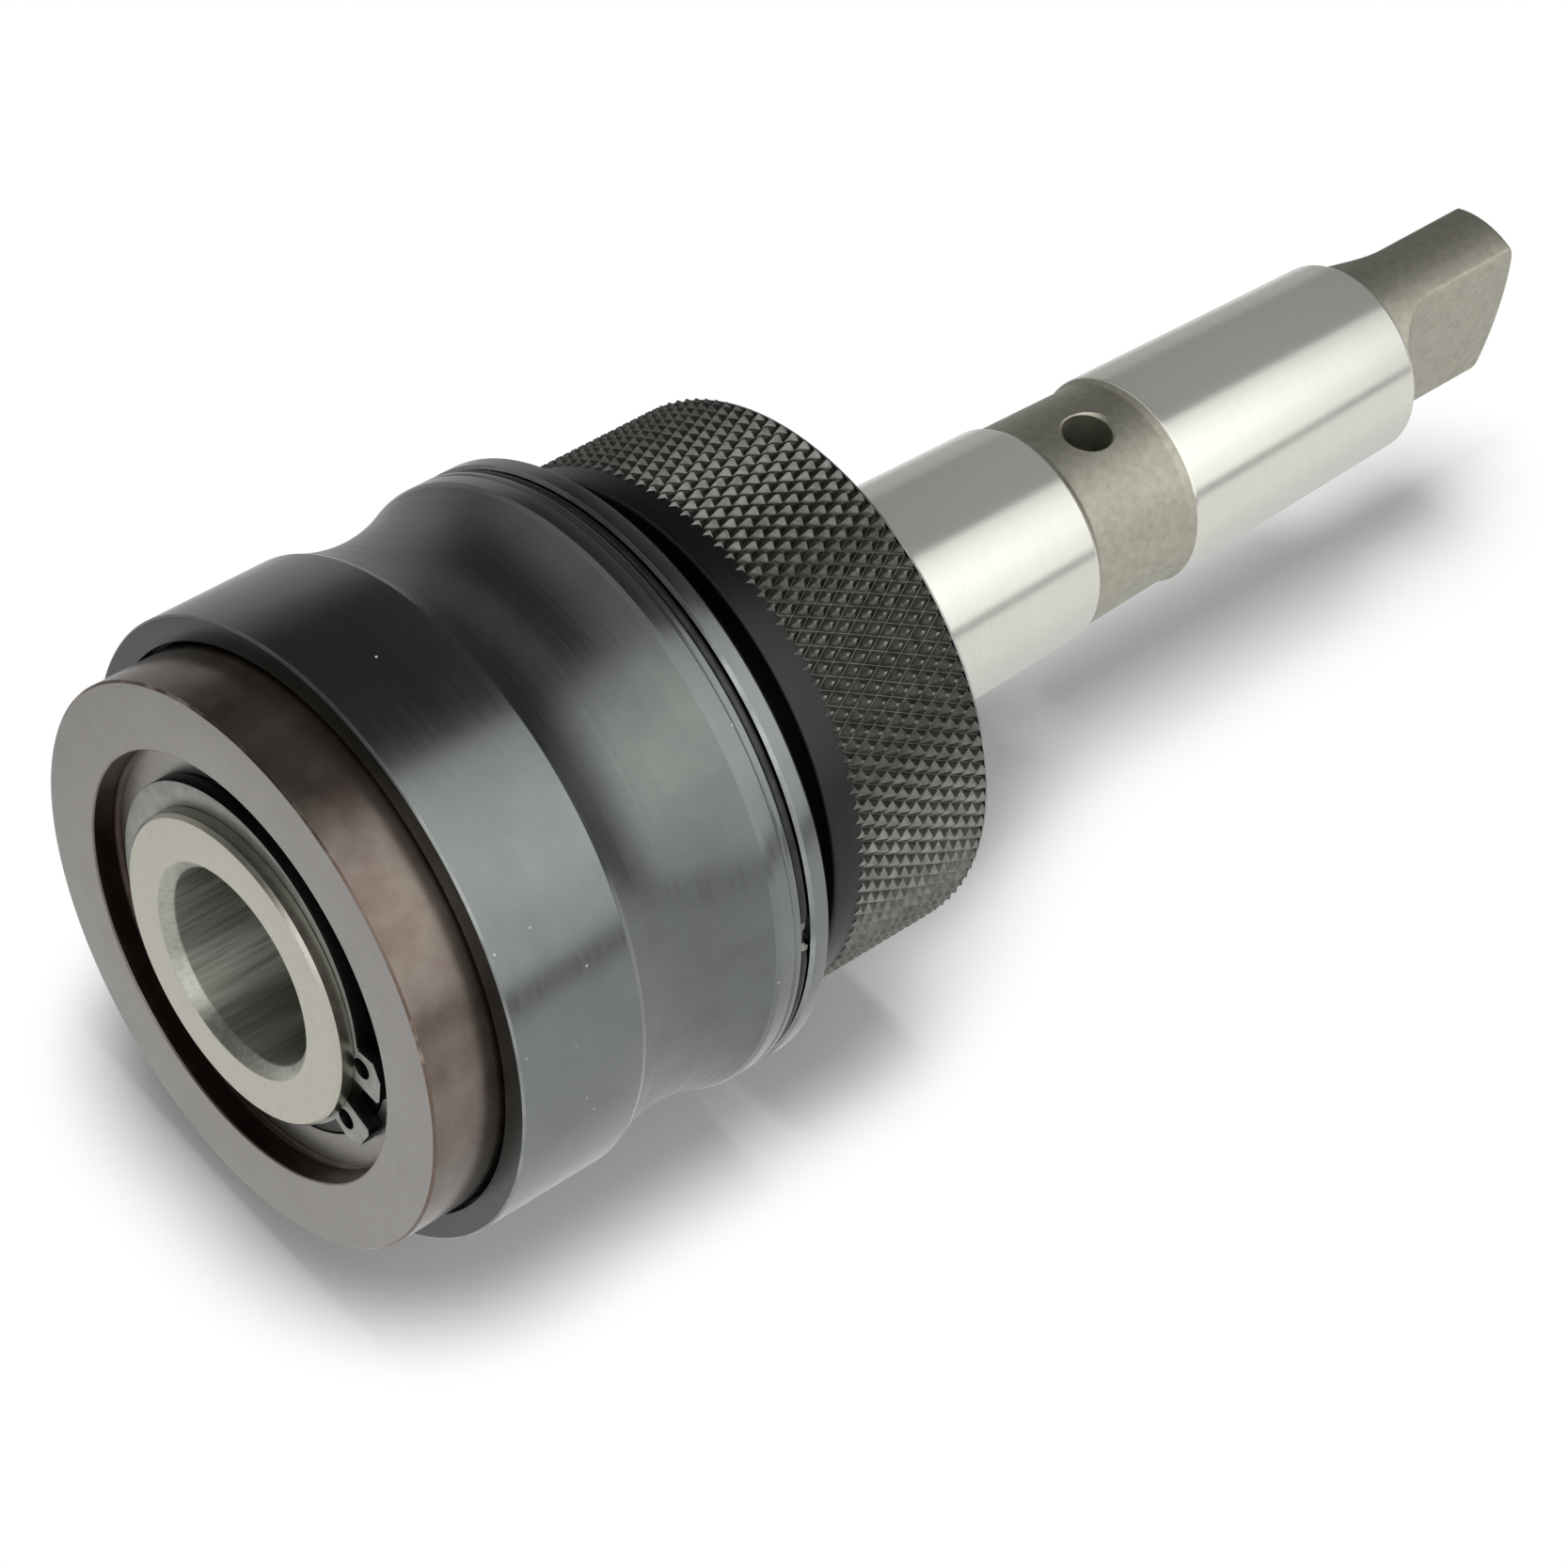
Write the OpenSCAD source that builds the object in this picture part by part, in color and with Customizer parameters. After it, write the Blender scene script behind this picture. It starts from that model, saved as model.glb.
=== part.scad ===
// Quick-change arbor: a taper shank with a tang carries a socket for side-flat
// cutters. The tool axis lies along X, with the nose towards -X and the tang
// towards +X. The origin is the centre of the taper's gauge plane, +Z is up,
// and the coolant cross hole runs along Z.

/* [Taper shank] */
// Diameter of the taper at its gauge plane
gauge_d = 23.825; // [23.5:0.025:24.1]
// Diameter lost along the taper for each unit of length
taper_share = 0.0502; // [0.048:0.0002:0.053]
// Gauge plane to the end of the tang
shank_len = 94; // [88:0.5:104]
// Length of the tang behind the ground taper
tang_len = 20; // [17:0.5:23]
// Diameter that the tang is turned to
tang_d = 18.2; // [16.5:0.1:19]
// Thickness across the two milled flats of the tang
tang_t = 7.9; // [6.5:0.1:9]
// Radius left by the cutter where each flat runs out
tang_run_r = 7; // [5.5:0.25:8]
// Radius of the domed end of the tang
tang_dome_r = 30; // [24:1:60]
// Gauge plane to the start of the relief groove
relief_start = 28.2; // [24:0.2:32]
// Length of the relief groove round the cross hole
relief_len = 13.8; // [11:0.2:18]
// Depth of the relief groove
relief_depth = 0.45; // [0.2:0.05:0.9]

/* [Coolant way] */
// Diameter of the cross hole through the shank
cross_hole_d = 5; // [4:0.1:6]
// Width of the countersink round each mouth of the cross hole
cross_hole_chamfer = 0.45; // [0.2:0.05:0.7]
// Diameter of the coolant drilling along the shank
coolant_d = 6; // [5:0.1:7]

/* [Socket] */
// Diameter of the socket for the tool's shank
bore_d = 19.05; // [19:0.01:19.2]
// Nose face to the bottom of the socket
bore_depth = 36.5; // [35:0.25:38]
// Chamfer at the mouth of the socket
mouth_chamfer = 1; // [0.6:0.05:1.3]
// Depth of the relief in the socket at the locking balls
bore_relief = 0.3; // [0.15:0.05:0.4]
// Length of that relief
bore_relief_len = 14; // [13:0.25:15]
// Wall of the nose round the socket
nose_wall = 5.475; // [5.2:0.025:5.7]
// Chamfer on the rim of the nose
nose_chamfer = 0.35; // [0.2:0.05:0.5]
// Step in radius from the nose to the body under the sleeve
body_step = 1.5; // [1.2:0.05:1.8]
// Step in radius from the body to the flange that the collar screws onto
flange_step = 4; // [3.5:0.1:4.5]

/* [Lock] */
// Diameter of the two locking balls
ball_d = 12; // [11.5:0.1:12.4]
// Nose face to the plane of the ball centres
ball_place = 18.5; // [18.4:0.1:19]
// How far a locked ball stands into the socket
lock_bite = 1.7; // [1.4:0.05:1.8]
// Outward travel of each ball when the sleeve is drawn back
ball_lift = 1.75; // [1.5:0.05:1.9]
// Backward travel of the sleeve
sleeve_travel = 3.5; // [3.2:0.05:3.8]
// Diameter of the pin that stops the sleeve
stop_pin_d = 3; // [2.5:0.1:3.4]
// Wall of the hardened cam bush round its front pocket
bush_wall = 2.16; // [2:0.02:2.6]

/* [Front ring] */
// How far the ring's rim lies inside the sleeve's outside
ring_inset = 2.85; // [2.6:0.05:3.2]
// Length of the front ring
ring_len = 11; // [10.6:0.1:11.4]
// How far the ring's face lies behind the nose face
ring_set = 0.5; // [0.3:0.05:0.7]
// Width of the recess in the ring's face, from the nose to its rim
recess_w = 5.75; // [5.5:0.05:6.5]
// Depth of that recess
recess_depth = 2.7; // [2.4:0.05:3]
// Radius in the corner of the recess
recess_r = 0.7; // [0.4:0.05:1]
// Chamfer on the front edge of the ring
ring_chamfer = 0.3; // [0.15:0.05:0.5]
// How far the support washer behind the circlip stands out from the nose
washer_w = 2.15; // [1.9:0.05:2.6]
// Thickness of the support washer
washer_t = 1; // [0.8:0.05:1.2]

/* [Circlip] */
// Thickness of the circlip on the nose
clip_t = 1.5; // [1.2:0.05:1.6]
// Depth of the groove that holds it
clip_groove_depth = 0.7; // [0.5:0.05:0.9]
// How far the circlip's outer edge stands out from the nose
clip_stand = 1.5; // [1.3:0.05:1.8]
// How far that edge's centre lies away from the gap
clip_shift = 1.15; // [0.8:0.05:1.3]
// How far the two ears stand out from the nose
clip_ear_stand = 3.5; // [3.2:0.1:4.2]
// Diameter of the hole in each ear
clip_hole_d = 2; // [1.6:0.1:2.2]
// Direction of the gap between the ears, from +Y towards +Z
clip_angle = 188.7; // [0:0.1:360]

/* [Grip sleeve] */
// Wall of the grip sleeve round the cam bush
sleeve_wall = 5.1; // [4.6:0.1:5.6]
// Length of the grip sleeve
sleeve_len = 34.55; // [34.3:0.25:36]
// Nose face to the front face of the sleeve
sleeve_place = 7.7; // [7:0.1:7.9]
// Sleeve front face to the front edge of the waist
waist_place = 13.05; // [12:0.25:14]
// Length of the concave waist
waist_len = 15.75; // [14:0.25:16]
// Depth of the waist
waist_depth = 1.65; // [1:0.05:1.9]
// Width of the groove for the wire ring
wire_groove_w = 1.3; // [1.2:0.05:1.4]
// Diameter of the wire of the ring in that groove
wire_d = 1.1; // [0.9:0.05:1.15]
// Length of the land behind the groove
rear_land = 2.15; // [1.8:0.05:2.3]

/* [Knurled collar] */
// Wall of the collar from the flange to the points of the knurl
knurl_wall = 6.15; // [5.6:0.05:6.4]
// Length of the collar
collar_len = 18.6; // [17.5:0.1:20]
// Length of the smooth band in front of the knurl
band_len = 2.8; // [2.2:0.1:3.4]
// Depth of the knurl from its points to its roots
knurl_depth = 0.6; // [0.4:0.05:0.7]
// Points of the knurl in one row around the collar
knurl_count = 110; // [90:2:130]
// Angle of the knurl's grooves to the axis
knurl_angle = 30; // [28:0.5:32]
// Collar's back face to the gauge plane
collar_set = 1; // [0.6:0.1:3]

/* [Ejector] */
// Diameter of the ejector's bore behind the socket
plunger_bore_d = 14; // [13.6:0.1:14.4]
// Length of the ejector's guided head
plunger_len = 12; // [11:0.25:13]
// Travel of the ejector
plunger_travel = 8; // [7:0.25:8.5]
// Wire diameter of the ejector spring
plunger_wire_d = 1.2; // [1:0.05:1.25]
// Wire diameter of the sleeve spring
sleeve_wire_d = 1.8; // [1.6:0.05:1.9]

/* [Hidden] */
$fn = 128;

// Clearances and overruns that every piece shares
overrun = 1;
running_gap = 0.05;
seat_gap = 0.02;
stop_gap = 0.1;
face_gap = 0.05;

// Places along the axis, from the gauge plane at zero
travel_gap_share = 1.1;
body_len = sleeve_place + sleeve_len + travel_gap_share * sleeve_travel + collar_len + collar_set;
nose_x = -body_len;
sleeve_x = nose_x + sleeve_place;
sleeve_end_x = sleeve_x + sleeve_len;
collar_end_x = -collar_set;
collar_x = collar_end_x - collar_len;
ring_x = nose_x + ring_set;
ring_end_x = ring_x + ring_len;
bore_end_x = nose_x + bore_depth;
ball_x = nose_x + ball_place;

// Radii of the arbor
bore_r = bore_d / 2;
nose_r = bore_r + nose_wall;
body_r = nose_r + body_step;
flange_r = body_r + flange_step;
guide_r = body_r + running_gap;
plunger_bore_r = plunger_bore_d / 2;
coolant_r = coolant_d / 2;

// Locking balls: a locked ball's centre, the seat's lip and the cam's slope
ball_r = ball_d / 2;
ball_rest_r = bore_r - lock_bite + ball_r;
seat_mouth_share = 0.82;
seat_mouth_r = seat_mouth_share * ball_r;
seat_lip_r = ball_rest_r - sqrt(pow(ball_r + running_gap, 2) - pow(seat_mouth_r, 2));
cam_slope = ball_lift / sleeve_travel;
cam_r = ball_rest_r + (ball_r + running_gap) * sqrt(1 + pow(cam_slope, 2));
cam_start_share = 0.75;
cam_x = ball_x - cam_start_share * ball_r;
cam_end_x = ball_x + (cam_r - guide_r) / cam_slope;
cam_front_r = cam_r + cam_slope * (ball_x - cam_x);

// Radii of what is built round the arbor, from the inside out
bush_r = cam_front_r + bush_wall;
sleeve_r = bush_r + sleeve_wall;
ring_r = sleeve_r - ring_inset;
recess_rim_r = nose_r + recess_w;
washer_r = nose_r + washer_w;
knurl_r = flange_r + knurl_wall;

// Circlip: its place, its groove and the angles of its ears
clip_x = ring_x + recess_depth - clip_t - face_gap;
clip_groove_r = nose_r - clip_groove_depth;
clip_r = nose_r + clip_stand;
clip_ear_r = nose_r + clip_ear_stand;
clip_hole_place_share = 0.86;
clip_gap_half_angle = 7;
clip_ear_angle = 22;
clip_hole_angle = 15.2;

// Washer behind the circlip, let into the floor of the recess
washer_x = ring_x + recess_depth;
washer_end_x = washer_x + washer_t;

// Front O-ring between the nose and the ring
nose_seal_d = 1.2;
nose_seal_depth = 1.2;
nose_seal_x = ring_end_x - 2 * nose_seal_d;
nose_seal_end_x = nose_seal_x + nose_seal_d + face_gap;

// Cam bush: front face, guide land, spring pocket and the slot for the pin
bush_x = ring_end_x + stop_gap;
guide_len_share = 0.42;
guide_end_x = cam_end_x + guide_len_share * body_r;
bush_set = 0.5;
bush_end_x = sleeve_end_x - bush_set;
pocket_r = (body_r + bush_r) / 2 + seat_gap;
pin_r = stop_pin_d / 2;
pin_x = (cam_end_x + guide_end_x) / 2;
pin_angle = 225;
pin_depth_share = 0.24;
pin_root_r = body_r * (1 - pin_depth_share);
pin_top_share = 0.8;
pin_top_r = guide_r + pin_top_share * stop_pin_d;

// Grip sleeve: mouth, waist, groove and the scribed line in front of it
mouth_gap_share = 0.0128;
mouth_r = ring_r * (1 + mouth_gap_share);
sleeve_chamfer = 0.35;
waist_x = sleeve_x + waist_place;
waist_r = (pow(waist_len / 2, 2) + pow(waist_depth, 2)) / (2 * waist_depth);
wire_groove_x = sleeve_end_x - rear_land - wire_groove_w;
wire_groove_depth = wire_groove_w - seat_gap;
scribe_depth = 0.2;
wire_r = wire_d / 2;
wire_ring_r = sleeve_r - wire_groove_depth + wire_r + seat_gap;
wire_angle = 169.5;
wire_gap_angle = 3;
wire_hook_angle = wire_angle + wire_gap_angle / 2;
wire_hook_share = 1.3;
wire_hook_r = bush_r - wire_hook_share * wire_d;

// Collar: smooth band, knurl, counterbore for the spring seat and rear lip
band_share = 0.45;
band_r = knurl_r - band_share * knurl_depth;
band_round = 0.4;
collar_chamfer = 0.4;
knurl_x = collar_x + band_len;
knurl_root_r = knurl_r - knurl_depth;
knurl_len = collar_end_x - collar_chamfer - knurl_x;
knurl_pitch = 2 * PI * knurl_r / knurl_count;
knurl_rows = round(2 * knurl_len * tan(knurl_angle) / knurl_pitch);
knurl_lead_share = 0.45;
knurl_step = knurl_len / (knurl_rows - knurl_lead_share);
seat_t = 1.5;
seat_r = flange_r + seat_t;
flange_x = collar_x + seat_t;
lip_share = 0.24;
flange_end_x = collar_end_x - lip_share * collar_len;
lip_gap = 0.45;
key_d = 3;
key_len = 2 * key_d;
key_angle = 45;

// Sleeve spring between the bush and the spring seat
sleeve_spring_x = guide_end_x + face_gap;
sleeve_spring_len = collar_x - sleeve_spring_x - face_gap;
sleeve_spring_r = (guide_r + pocket_r) / 2;
sleeve_spring_turns = 4;

// O-ring that seals the tool's shank
bore_seal_d = 1.8;
bore_seal_depth = 1.7;
bore_seal_w = 2.4;
bore_seal_x = guide_end_x - bore_seal_w - face_gap;

// Ejector: circlip, plunger, its O-ring and its spring
inner_clip_t = 1;
inner_clip_depth = 0.35;
inner_clip_groove_r = plunger_bore_r + inner_clip_depth;
inner_clip_w = 1.5;
inner_clip_x = bore_end_x + inner_clip_t;
inner_clip_end_x = inner_clip_x + inner_clip_t;
inner_clip_angle = 300;
plunger_r = plunger_bore_r - running_gap;
plunger_x = inner_clip_end_x + 2 * face_gap;
plunger_end_x = plunger_x + plunger_len;
plunger_nose_r = plunger_bore_r - inner_clip_w - 4 * stop_gap;
plunger_nose_len = 4;
plunger_tail_share = 0.55;
plunger_tail_r = plunger_tail_share * plunger_bore_r;
plunger_tail_len = 5;
plunger_hole_r = 1.5;
plunger_seal_d = 1.6;
plunger_seal_depth = 1.6;
plunger_seal_x = (plunger_x + plunger_end_x) / 2;
plunger_turns = 7;
plunger_solid_share = 1.3;
plunger_spring_len = plunger_travel + plunger_solid_share * plunger_turns * plunger_wire_d;
plunger_spring_x = plunger_end_x + face_gap;
plunger_spring_r = (plunger_tail_r + plunger_bore_r) / 2;
plunger_bore_end_x = plunger_spring_x + plunger_spring_len + face_gap;

// Shank: the taper's radius at a place, the relief groove and the tang
function taper_r(x) = (gauge_d - taper_share * x) / 2;
relief_end_x = relief_start + relief_len;
relief_r = taper_r(relief_end_x) - relief_depth;
relief_front_r = taper_r(relief_start) - relief_depth;
cross_x = (relief_start + relief_end_x) / 2;
cross_r = cross_hole_d / 2;
coolant_end_x = cross_x + cross_hole_d;
tang_x = shank_len - tang_len;
tang_r = tang_d / 2;
tang_half = tang_t / 2;
tang_chamfer = 0.4;
tang_flat_x = tang_x + sqrt(pow(tang_run_r, 2) - pow(tang_run_r + tang_half - tang_r, 2)) + seat_gap;

// Facets of the small round sections and of the two coil springs
section_sides = 32;
coil_sides = 8;
coil_steps = 20;
closed_share = 1.06;

// Turns a profile about the tool axis: x is the radius and y the place along it
module turned(angle = 360) {
    rotate([0, 90, 0])
        rotate_extrude(angle = angle)
            children();
}

// Rectangle between two places and two radii of a turned profile
module band(x0, x1, r0, r1) {
    translate([r0, x0])
        square([r1 - r0, x1 - x0]);
}

// Puts a child whose Z axis is a radius at a place and an angle from +Y to +Z
module radial(x, angle) {
    translate([x, 0, 0])
        rotate([angle - 90, 0, 0])
            children();
}

// Puts a child whose Z axis is the tool axis at a place
module along(x) {
    translate([x, 0, 0])
        rotate([0, 90, 0])
            children();
}

module o_ring(x, centre_r, section) {
    turned()
        translate([centre_r, x])
            circle(d = section, $fn = section_sides);
}

// Height of the coil's centre after some turns: closed turns at both ends
function coil_rise(t, turns, pitch, wire) =
    t < 1 ? wire * t :
    t > turns - 1 ? wire + pitch * (turns - 2) + wire * (t - turns + 1) :
    wire + pitch * (t - 1);

// Compression spring along the axis from x, of an overall length, closed at both ends
module coil_spring(x, length, mean_r, wire, turns) {
    closed = wire * closed_share;
    pitch = (length - wire - 2 * closed) / (turns - 2);
    rings = turns * coil_steps;
    section_r = wire / 2;
    points = [
        for (i = [0:rings])
            let (
                t = i / coil_steps,
                a = 360 * t,
                centre_x = x + section_r + coil_rise(t, turns, pitch, closed)
            )
            for (k = [0:coil_sides - 1])
                let (
                    b = 360 * (k + 0.5) / coil_sides,
                    r = mean_r + section_r * cos(b)
                )
                [centre_x + section_r * sin(b), r * cos(a), r * sin(a)]
    ];
    sides = [
        for (i = [0:rings - 1])
            for (k = [0:coil_sides - 1])
                let (
                    n = (k + 1) % coil_sides,
                    base = i * coil_sides
                )
                [base + k, base + n, base + coil_sides + n, base + coil_sides + k]
    ];
    start_cap = [for (k = [0:coil_sides - 1]) coil_sides - 1 - k];
    end_cap = [for (k = [0:coil_sides - 1]) rings * coil_sides + k];
    polyhedron(points = points, faces = concat(sides, [start_cap, end_cap]));
}

// The one-piece arbor: nose, socket, flange, taper and tang

module shank_outline() {
    polygon([
        [0, nose_x],
        [nose_r - nose_chamfer, nose_x],
        [nose_r, nose_x + nose_chamfer],
        [nose_r, ring_end_x + face_gap],
        [body_r, ring_end_x + face_gap],
        [body_r, flange_x],
        [flange_r, flange_x],
        [flange_r, flange_end_x],
        [taper_r(flange_end_x), flange_end_x],
        [taper_r(relief_start), relief_start],
        [relief_front_r, relief_start + relief_depth],
        [relief_r, relief_end_x - relief_depth],
        [taper_r(relief_end_x), relief_end_x],
        [taper_r(tang_x), tang_x - tang_chamfer],
        [taper_r(tang_x) - tang_chamfer, tang_x],
        [0, tang_x]
    ]);
}

module socket_outline() {
    polygon([
        [0, nose_x - overrun],
        [bore_r + mouth_chamfer + overrun, nose_x - overrun],
        [bore_r, nose_x + mouth_chamfer],
        [bore_r, bore_end_x],
        [plunger_bore_r, bore_end_x],
        [plunger_bore_r, plunger_bore_end_x],
        [coolant_r, plunger_bore_end_x + plunger_bore_r - coolant_r],
        [coolant_r, coolant_end_x],
        [0, coolant_end_x + coolant_r / 2]
    ]);
}

module ball_seat(angle) {
    radial(ball_x, angle) {
        translate([0, 0, seat_lip_r])
            cylinder(h = body_r, r = ball_r + running_gap);
        cylinder(h = body_r, r = seat_mouth_r);
    }
}

module tang_flat_cut(side) {
    scale([1, side, 1]) {
        translate([tang_flat_x, tang_half, -tang_r])
            cube([tang_len, tang_r, tang_d]);
        translate([tang_flat_x, tang_half + tang_run_r, -tang_r])
            cylinder(h = tang_d, r = tang_run_r);
    }
}

module tang() {
    difference() {
        turned()
            intersection() {
                band(tang_x - overrun, shank_len + overrun, 0, tang_r);
                translate([0, shank_len - tang_dome_r])
                    circle(r = tang_dome_r);
            }
        for (side = [-1, 1])
            tang_flat_cut(side);
    }
}

module cross_hole() {
    mouth_r = relief_front_r + cross_hole_chamfer;
    cylinder(h = 2 * mouth_r, r = cross_r, center = true);
    for (side = [0, 180])
        rotate([side, 0, 0])
            translate([0, 0, relief_r - 2 * cross_hole_chamfer])
                cylinder(h = 4 * cross_hole_chamfer, r1 = cross_r, r2 = cross_r + 4 * cross_hole_chamfer);
}

module arbor() {
    color([0.78, 0.78, 0.75])
        difference() {
            union() {
                turned()
                    shank_outline();
                tang();
            }
            turned() {
                socket_outline();
                band(clip_x - face_gap, clip_x + clip_t + face_gap, clip_groove_r, nose_r + overrun);
                band(nose_seal_x, nose_seal_end_x, nose_r - nose_seal_depth, nose_r + overrun);
                band(ball_x - bore_relief_len / 2, ball_x + bore_relief_len / 2, 0, bore_r + bore_relief);
                band(bore_seal_x, bore_seal_x + bore_seal_w, 0, bore_r + bore_seal_depth);
                band(inner_clip_x, inner_clip_end_x + face_gap, 0, inner_clip_groove_r);
            }
            ball_seat(90);
            ball_seat(0);
            radial(pin_x, pin_angle)
                translate([0, 0, pin_root_r - seat_gap])
                    cylinder(h = body_r, r = pin_r + seat_gap);
            translate([cross_x, 0, 0])
                cross_hole();
            key_hole();
        }
}

module front_ring() {
    recess_floor_r = recess_rim_r - recess_r;
    color([0.42, 0.36, 0.34])
        turned()
            difference() {
                polygon([
                    [nose_r + running_gap, ring_x],
                    [ring_r - ring_chamfer, ring_x],
                    [ring_r, ring_x + ring_chamfer],
                    [ring_r, ring_end_x],
                    [nose_r + running_gap, ring_end_x]
                ]);
                band(ring_x - overrun, ring_x + recess_depth - recess_r, 0, recess_rim_r);
                band(ring_x - overrun, ring_x + recess_depth, 0, recess_floor_r);
                translate([recess_floor_r, ring_x + recess_depth - recess_r])
                    circle(r = recess_r);
                band(ring_x, washer_end_x + seat_gap, 0, washer_r + stop_gap);
            }
}

module nose_seal() {
    color([0.08, 0.08, 0.08])
        o_ring(
            (nose_seal_x + nose_seal_end_x) / 2,
            nose_r + running_gap - nose_seal_d / 2 - seat_gap,
            nose_seal_d
        );
}

module support_washer() {
    color([0.1, 0.1, 0.1])
        turned()
            band(washer_x, washer_end_x, nose_r + running_gap, washer_r);
}

// Flat pie slice between two angles, wide enough for the circlip's ears
module slice(a0, a1) {
    reach = clip_ear_r + overrun;
    polygon([[0, 0], reach * [cos(a0), sin(a0)], reach * [cos(a1), sin(a1)]]);
}

module circlip_outline() {
    hole_place_r = clip_hole_place_share * clip_ear_r;
    difference() {
        union() {
            difference() {
                translate([-clip_shift, 0])
                    circle(r = clip_r);
                slice(-clip_ear_angle, clip_ear_angle);
            }
            for (side = [-1, 1])
                intersection() {
                    circle(r = clip_ear_r);
                    slice(side * clip_gap_half_angle, side * clip_ear_angle);
                }
        }
        circle(r = clip_groove_r + seat_gap);
        for (side = [-1, 1])
            rotate(side * clip_hole_angle)
                translate([hole_place_r, 0])
                    circle(d = clip_hole_d);
    }
}

module nose_circlip() {
    color([0.12, 0.13, 0.13])
        translate([clip_x, 0, 0])
            rotate([clip_angle - 90, 0, 0])
                rotate([0, 90, 0])
                    rotate(180)
                        linear_extrude(clip_t)
                            circlip_outline();
}

module sleeve_outline() {
    difference() {
        polygon([
            [bush_r + seat_gap, sleeve_x],
            [sleeve_r - sleeve_chamfer, sleeve_x],
            [sleeve_r, sleeve_x + sleeve_chamfer],
            [sleeve_r, sleeve_end_x - sleeve_chamfer],
            [sleeve_r - sleeve_chamfer, sleeve_end_x],
            [bush_r + seat_gap, sleeve_end_x]
        ]);
        band(sleeve_x - overrun, bush_x, 0, mouth_r);
        translate([sleeve_r - waist_depth + waist_r, waist_x + waist_len / 2])
            circle(r = waist_r);
        band(wire_groove_x, wire_groove_x + wire_groove_w, sleeve_r - wire_groove_depth, sleeve_r + overrun);
        translate([sleeve_r, wire_groove_x - wire_groove_w / 2])
            rotate(45)
                square(scribe_depth / cos(45), center = true);
    }
}

module hook_hole() {
    radial(wire_groove_x + wire_groove_w / 2, wire_hook_angle)
        translate([0, 0, wire_hook_r - seat_gap])
            cylinder(h = sleeve_r, r = wire_r + seat_gap);
}

module grip_sleeve() {
    color([0.13, 0.15, 0.15])
        difference() {
            turned()
                sleeve_outline();
            hook_hole();
        }
}

module sleeve_wire_ring() {
    color([0.2, 0.2, 0.2]) {
        rotate([wire_angle + 90, 0, 0])
            turned(360 - wire_gap_angle)
                translate([wire_ring_r, wire_groove_x + wire_groove_w / 2])
                    circle(r = wire_r, $fn = section_sides);
        radial(wire_groove_x + wire_groove_w / 2, wire_hook_angle)
            translate([0, 0, wire_hook_r])
                cylinder(h = wire_ring_r - wire_hook_r, r = wire_r - seat_gap);
    }
}

module cam_bush() {
    color([0.45, 0.46, 0.48])
        difference() {
            turned()
                polygon([
                    [cam_front_r, bush_x],
                    [bush_r, bush_x],
                    [bush_r, bush_end_x],
                    [pocket_r, bush_end_x],
                    [pocket_r, guide_end_x],
                    [guide_r, guide_end_x],
                    [guide_r, cam_end_x],
                    [cam_front_r, cam_x]
                ]);
            stop_slot();
            hook_hole();
        }
}

// Slot in the bush: the pin lies in it, and its front end stops the sleeve
module stop_slot() {
    width = stop_pin_d + 2 * stop_gap;
    front_x = pin_x - sleeve_travel - stop_gap;
    height = pin_top_r + stop_gap;
    radial(front_x, pin_angle)
        cylinder(h = height, d = width);
    translate([front_x, 0, 0])
        rotate([pin_angle - 90, 0, 0])
            translate([0, -width / 2, 0])
                cube([guide_end_x - front_x + overrun, width, height]);
}

module lock_ball(angle) {
    color([0.8, 0.8, 0.82])
        radial(ball_x, angle)
            translate([0, 0, ball_rest_r])
                sphere(r = ball_r);
}

module lock_ball_top() {
    lock_ball(90);
}

module lock_ball_side() {
    lock_ball(0);
}

module stop_pin() {
    color([0.7, 0.7, 0.72])
        radial(pin_x, pin_angle)
            translate([0, 0, pin_root_r])
                cylinder(h = pin_top_r - pin_root_r, r = pin_r);
}

module sleeve_spring() {
    color([0.55, 0.56, 0.58])
        coil_spring(sleeve_spring_x, sleeve_spring_len, sleeve_spring_r, sleeve_wire_d, sleeve_spring_turns);
}

module spring_seat() {
    color([0.3, 0.3, 0.3])
        turned()
            band(collar_x, flange_x - face_gap, body_r + running_gap, seat_r - seat_gap);
}

// Radius and place of a ring of the knurled barrel: rings 0 and 1 lie inside the smooth
// band, rings 2 to knurl_rows + 1 carry the points and the last one ends the chamfer
function barrel_r(i, k) =
    k > knurl_rows + 1 ? knurl_root_r - collar_chamfer :
    k > 1 && (i + k) % 2 == 0 ? knurl_r :
    knurl_root_r;

function barrel_x(k) =
    k == 0 ? knurl_x - band_len / 2 :
    k > knurl_rows + 1 ? collar_end_x :
    knurl_x + (k - 1 - knurl_lead_share) * knurl_step;

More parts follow.
